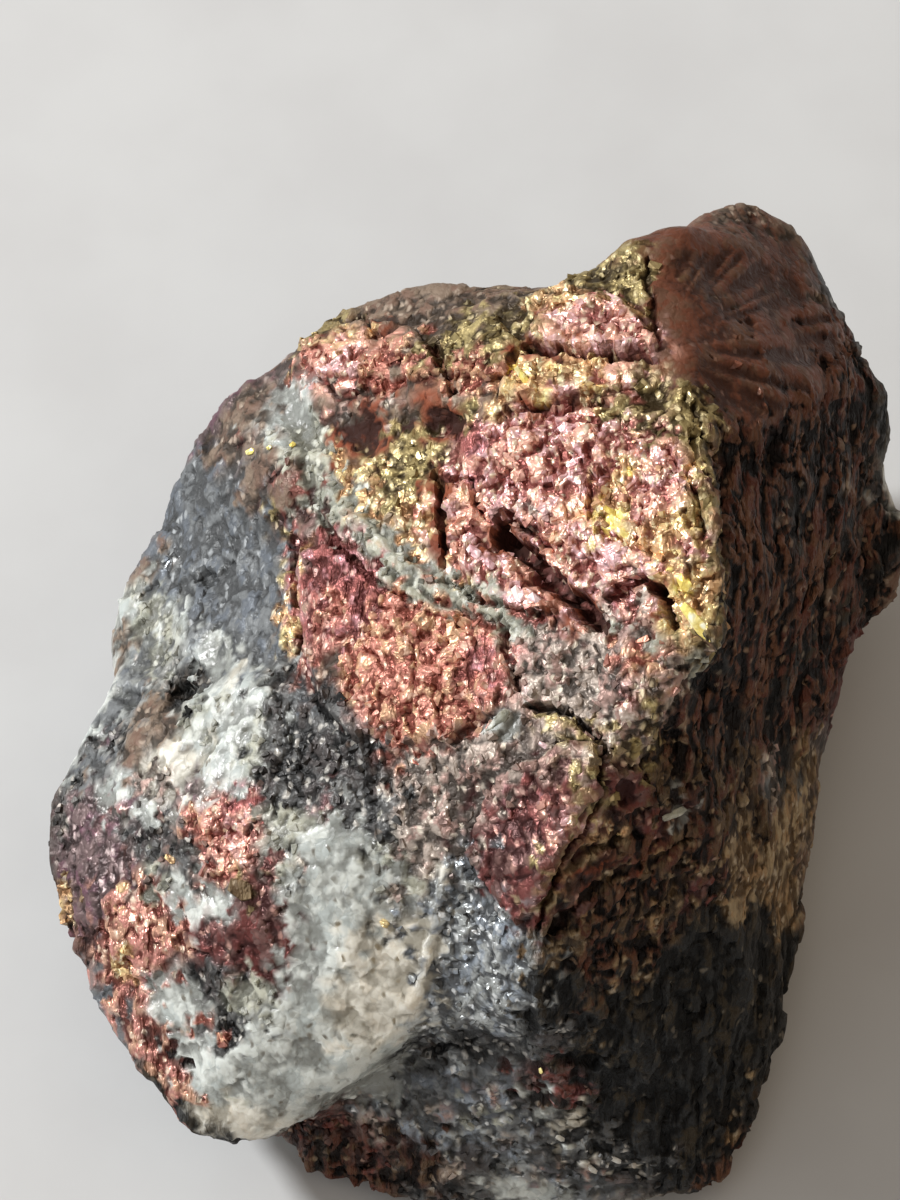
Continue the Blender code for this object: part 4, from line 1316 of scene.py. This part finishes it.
@dataclass(kw_only=True)
class Crystals:
    """Small sharp crystals set into the stone's skin, as one piece."""

    name: str
    slot: str
    stone: Stone
    shown: float = 0.2
    cuts: int = 5
    seed: int = 7

    def make_crystal(self, dice: np.random.Generator) -> tuple[np.ndarray, np.ndarray]:
        """One crystal, two units wide: a block that flat planes have cut the corners from.

        Args:
            dice: picks the planes.

        Returns:
            Its points and its triangles.
        """
        bpy.ops.mesh.primitive_cube_add(size=2.0)
        block = bpy.context.object
        select_only(block)
        bpy.ops.object.mode_set(mode="EDIT")
        for _ in range(self.cuts):
            way = dice.normal(size=3)
            way /= np.linalg.norm(way)
            bpy.ops.mesh.select_all(action="SELECT")
            bpy.ops.mesh.bisect(
                plane_co=way * dice.uniform(0.8, 1.05), plane_no=way, use_fill=True, clear_outer=True
            )
        bpy.ops.mesh.select_all(action="SELECT")
        bpy.ops.mesh.quads_convert_to_tris()
        bpy.ops.object.mode_set(mode="OBJECT")
        points = np.array([tuple(vertex.co) for vertex in block.data.vertices])
        faces = np.array([tuple(face.vertices) for face in block.data.polygons])
        bpy.data.objects.remove(block)
        return points, faces

    def set_out(self, dice: np.random.Generator) -> Setting:
        """Where the crystals go, which each kind of piece decides for itself."""
        raise NotImplementedError

    def build(self) -> bpy.types.Object:
        """Makes all the crystals as one piece.

        Returns:
            The finished piece.
        """
        dice = np.random.default_rng(self.seed)
        points, faces = self.make_crystal(dice)
        setting = self.set_out(dice)
        count = len(setting.places)
        along = setting.along - (setting.along * setting.out).sum(1, keepdims=True) * setting.out
        along /= np.linalg.norm(along, axis=1, keepdims=True)
        turns = np.stack([along, np.cross(setting.out, along), setting.out], axis=2)
        spread = np.einsum("nij,nvj->nvi", turns, points[None] * setting.sizes[:, None, :] / 2)
        spread += setting.places[:, None, :]
        low, high = (np.array(corner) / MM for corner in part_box(self.stone.node))
        corners = np.clip(spread.reshape(-1, 3), low, high) * MM
        firsts = np.arange(count)[:, None, None] * len(points)
        mesh = bpy.data.meshes.new(self.name)
        mesh.from_pydata(corners.tolist(), [], (faces[None] + firsts).reshape(-1, 3).tolist())
        finish = {name: np.repeat(values, len(points), axis=0) for name, values in setting.finish.items()}
        # Each crystal counts as standing out, so the material lightens it like an edge: a painted highlight,
        # varied at random.
        proud = dice.uniform(self.shown - 0.3, self.shown + 0.3, count)
        store_looks(mesh, finish, np.repeat(proud, len(points)))
        mesh.materials.append(self.stone.material)
        piece = bpy.data.objects.new(self.name, mesh)
        bpy.context.scene.collection.objects.link(piece)
        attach(piece, "root")
        log.info("%s: %d crystals, %d triangles", self.name, count, len(mesh.polygons))
        return piece


@dataclass(kw_only=True)
class Grains(Crystals):
    """Crystals of like minerals, scattered wherever those minerals show.

    Density is how many are tried on a square millimetre, length the range of a crystal's longest side, and
    shape its breadth and height as parts of that. Lift is how far its middle lies above the skin, lean how far
    it may tip, and smoothing the share of the minerals' bump that it keeps.
    """

    kinds: tuple[Mineral, ...]
    density: float
    length: tuple[float, float]
    shape: tuple[float, float]
    lift: float
    lean: float
    most: int = 5000
    foot: float = 1.5
    smoothing: float = 0.4

    def pick_places(self, dice: np.random.Generator) -> tuple[np.ndarray, np.ndarray]:
        """Places on the skin where these minerals show, with the skin's directions there."""
        faces = self.stone.piece.data.polygons
        middles, normals, areas = np.zeros(len(faces) * 3), np.zeros(len(faces) * 3), np.zeros(len(faces))
        faces.foreach_get("center", middles)
        faces.foreach_get("normal", normals)
        faces.foreach_get("area", areas)
        middles, normals = middles.reshape(-1, 3) / MM, normals.reshape(-1, 3)
        count = int(self.density * areas.sum() / MM**2)
        picked = dice.choice(len(faces), count, replace=False, p=areas / areas.sum())
        picked = picked[middles[picked, 2] > self.foot]
        kinds = self.stone.minerals.strongest(middles[picked])
        picked = picked[[kind in self.kinds for kind in kinds]][: self.most]
        return middles[picked], normals[picked]

    def set_out(self, dice: np.random.Generator) -> Setting:
        """Scatters the crystals."""
        places, normals = self.pick_places(dice)
        count = len(places)
        out = normals + self.lean * dice.normal(size=(count, 3))
        out /= np.linalg.norm(out, axis=1, keepdims=True)
        lengths = dice.uniform(*self.length, (count, 1))
        sizes = lengths * (1.0, *self.shape) * dice.uniform(0.75, 1.25, (count, 3))
        finish = self.stone.minerals.blend(places)
        finish["bump"] = finish["bump"] * self.smoothing
        return Setting(places + out * self.lift, dice.normal(size=(count, 3)), out, sizes, finish)


@dataclass(kw_only=True)
class SeenCrystals(Crystals):
    """The crystals that the photograph shows one by one."""

    thickness: float = 0.6
    lift: float = 0.1
    unevenness: float = 0.2

    def make_crystal(self, dice: np.random.Generator) -> tuple[np.ndarray, np.ndarray]:
        """One crystal, two units wide: an uneven solid of twenty flat faces that narrows to both ends."""
        bpy.ops.mesh.primitive_ico_sphere_add(subdivisions=1, radius=1.0)
        solid = bpy.context.object
        points = np.array([tuple(vertex.co) for vertex in solid.data.vertices])
        faces = np.array([tuple(face.vertices) for face in solid.data.polygons])
        bpy.data.objects.remove(solid)
        return points + dice.uniform(-self.unevenness, self.unevenness, points.shape), faces

    def set_out(self, dice: np.random.Generator) -> Setting:
        """Lays each listed crystal between the places on the skin that its ends are seen at."""
        surface, sight = self.stone.surface(), self.stone.sight
        places, along, out, sizes = [], [], [], []
        for crystal in SEEN_CRYSTALS:
            hits = [surface.ray_cast(Vector(sight.eye), Vector(sight.ray(end))) for end in crystal.ends]
            start, end = (np.array(hit[0]) for hit in hits)
            facing = np.array(hits[0][1]) + np.array(hits[1][1]) + sight.back
            out.append(facing / np.linalg.norm(facing))
            along.append(end - start)
            places.append((start + end) / 2 + out[-1] * self.lift)
            length = np.linalg.norm(end - start)
            sizes.append((length * 1.1, crystal.breadth, crystal.breadth * self.thickness))
        traits = [crystal.mineral.value.traits() for crystal in SEEN_CRYSTALS]
        finish = {name: np.array([one[name] for one in traits]) for name in traits[0]}
        finish = {name: values[:, 0] if values.shape[1] == 1 else values for name, values in finish.items()}
        return Setting(np.array(places), np.array(along), np.array(out), np.array(sizes), finish)


# Floor and light


@dataclass(frozen=True)
class Studio:
    """A pale floor, one low soft lamp from the left and weak light all round."""

    floor_half: float = 0.6
    lamp_way: tuple[float, float, float] = (-0.74, 0.25, 0.62)
    lamp_distance: float = 1.1
    lamp_size: float = 0.18
    lamp_power: float = 13.0
    surround: float = 0.56

    def make_floor(self) -> bpy.types.Object:
        """Adds the floor, with a paper's faint mottling."""
        bpy.ops.mesh.primitive_plane_add(size=2 * self.floor_half, location=(0.0, 0.0, 0.0))
        floor = bpy.context.object
        floor.name = "floor"
        material = bpy.data.materials.new("pale paper")
        material.use_nodes = True
        maker = NodeMaker(material.node_tree)
        places = maker.node("ShaderNodeTexCoord", {}, {}, "Object")
        mottle = maker.noise(places, 0.016, 5.0)
        colour = maker.mix(mottle.step(0.3, 0.7), (0.59, 0.60, 0.605, 1.0), (0.63, 0.645, 0.65, 1.0))
        paper = maker.node("ShaderNodeBsdfPrincipled", {}, {"Base Color": colour, "Roughness": 0.75})
        maker.finish("ShaderNodeOutputMaterial", paper)
        floor.data.materials.append(material)
        return floor

    def make_lamp(self) -> bpy.types.Object:
        """Adds the lamp, aimed at the stone."""
        way = Vector(self.lamp_way).normalized()
        bpy.ops.object.light_add(type="AREA", location=way * self.lamp_distance)
        lamp = bpy.context.object
        lamp.name = "window"
        lamp.rotation_mode = "QUATERNION"
        lamp.rotation_quaternion = way.to_track_quat("Z", "Y")
        lamp.data.shape = "DISK"
        lamp.data.size = self.lamp_size
        lamp.data.energy = self.lamp_power
        return lamp

    def make_surround(self) -> None:
        """Fills the world with weak light, brighter on the lamp's side."""
        world = bpy.data.worlds.new("room")
        bpy.context.scene.world = world
        world.use_nodes = True
        maker = NodeMaker(world.node_tree)
        side = maker.split(maker.node("ShaderNodeTexCoord", {}, {}, "Generated"))[0]
        colour = maker.mix(side.step(-0.8, 0.5), (0.9, 0.91, 0.93, 1.0), (0.66, 0.53, 0.40, 1.0))
        glow = maker.node("ShaderNodeBackground", {}, {"Color": colour, "Strength": self.surround})
        maker.finish("ShaderNodeOutputWorld", glow)

    def build(self) -> None:
        """Sets up the floor, the lamp, the world and how colours are shown."""
        self.make_floor()
        self.make_lamp()
        self.make_surround()
        view = bpy.context.scene.view_settings
        view.view_transform = "Standard"


def main() -> None:
    """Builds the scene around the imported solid, in order."""
    logging.basicConfig(level=logging.INFO, format="%(message)s")
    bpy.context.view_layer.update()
    sight = Sight()
    sight.make_camera()
    Studio().build()
    stone = Stone(sight=sight, material=StoneFinish().make())
    mesh = stone.build().data
    log.info("stone: %d points, %d faces", len(mesh.vertices), len(mesh.polygons))
    ores = (Mineral.ROSE, Mineral.GOLD, Mineral.COPPER, Mineral.OLIVE)
    greys = (Mineral.GRIT, Mineral.ASH, Mineral.PEARL, Mineral.BRICK)
    pieces = [
        Grains(
            name="ore_chips", slot="bornite", stone=stone, kinds=ores,
            density=0.8, length=(0.3, 0.8), shape=(0.7, 0.35), lift=-0.07, lean=0.1,
        ),
        Grains(
            name="sulphide_grains", slot="sulphide", stone=stone, kinds=greys,
            density=0.6, length=(0.25, 0.6), shape=(0.75, 0.7), lift=-0.03, lean=0.3,
        ),
        Grains(
            name="quartz_grains", slot="quartz", stone=stone, kinds=(Mineral.VEIN,),
            density=1.0, length=(0.3, 0.6), shape=(0.8, 0.7), lift=-0.06, lean=0.3,
        ),
        SeenCrystals(name="bright_crystals", slot="bornite", stone=stone),
    ]
    for piece in pieces:
        piece.build()


if __name__ == "__main__":
    main()
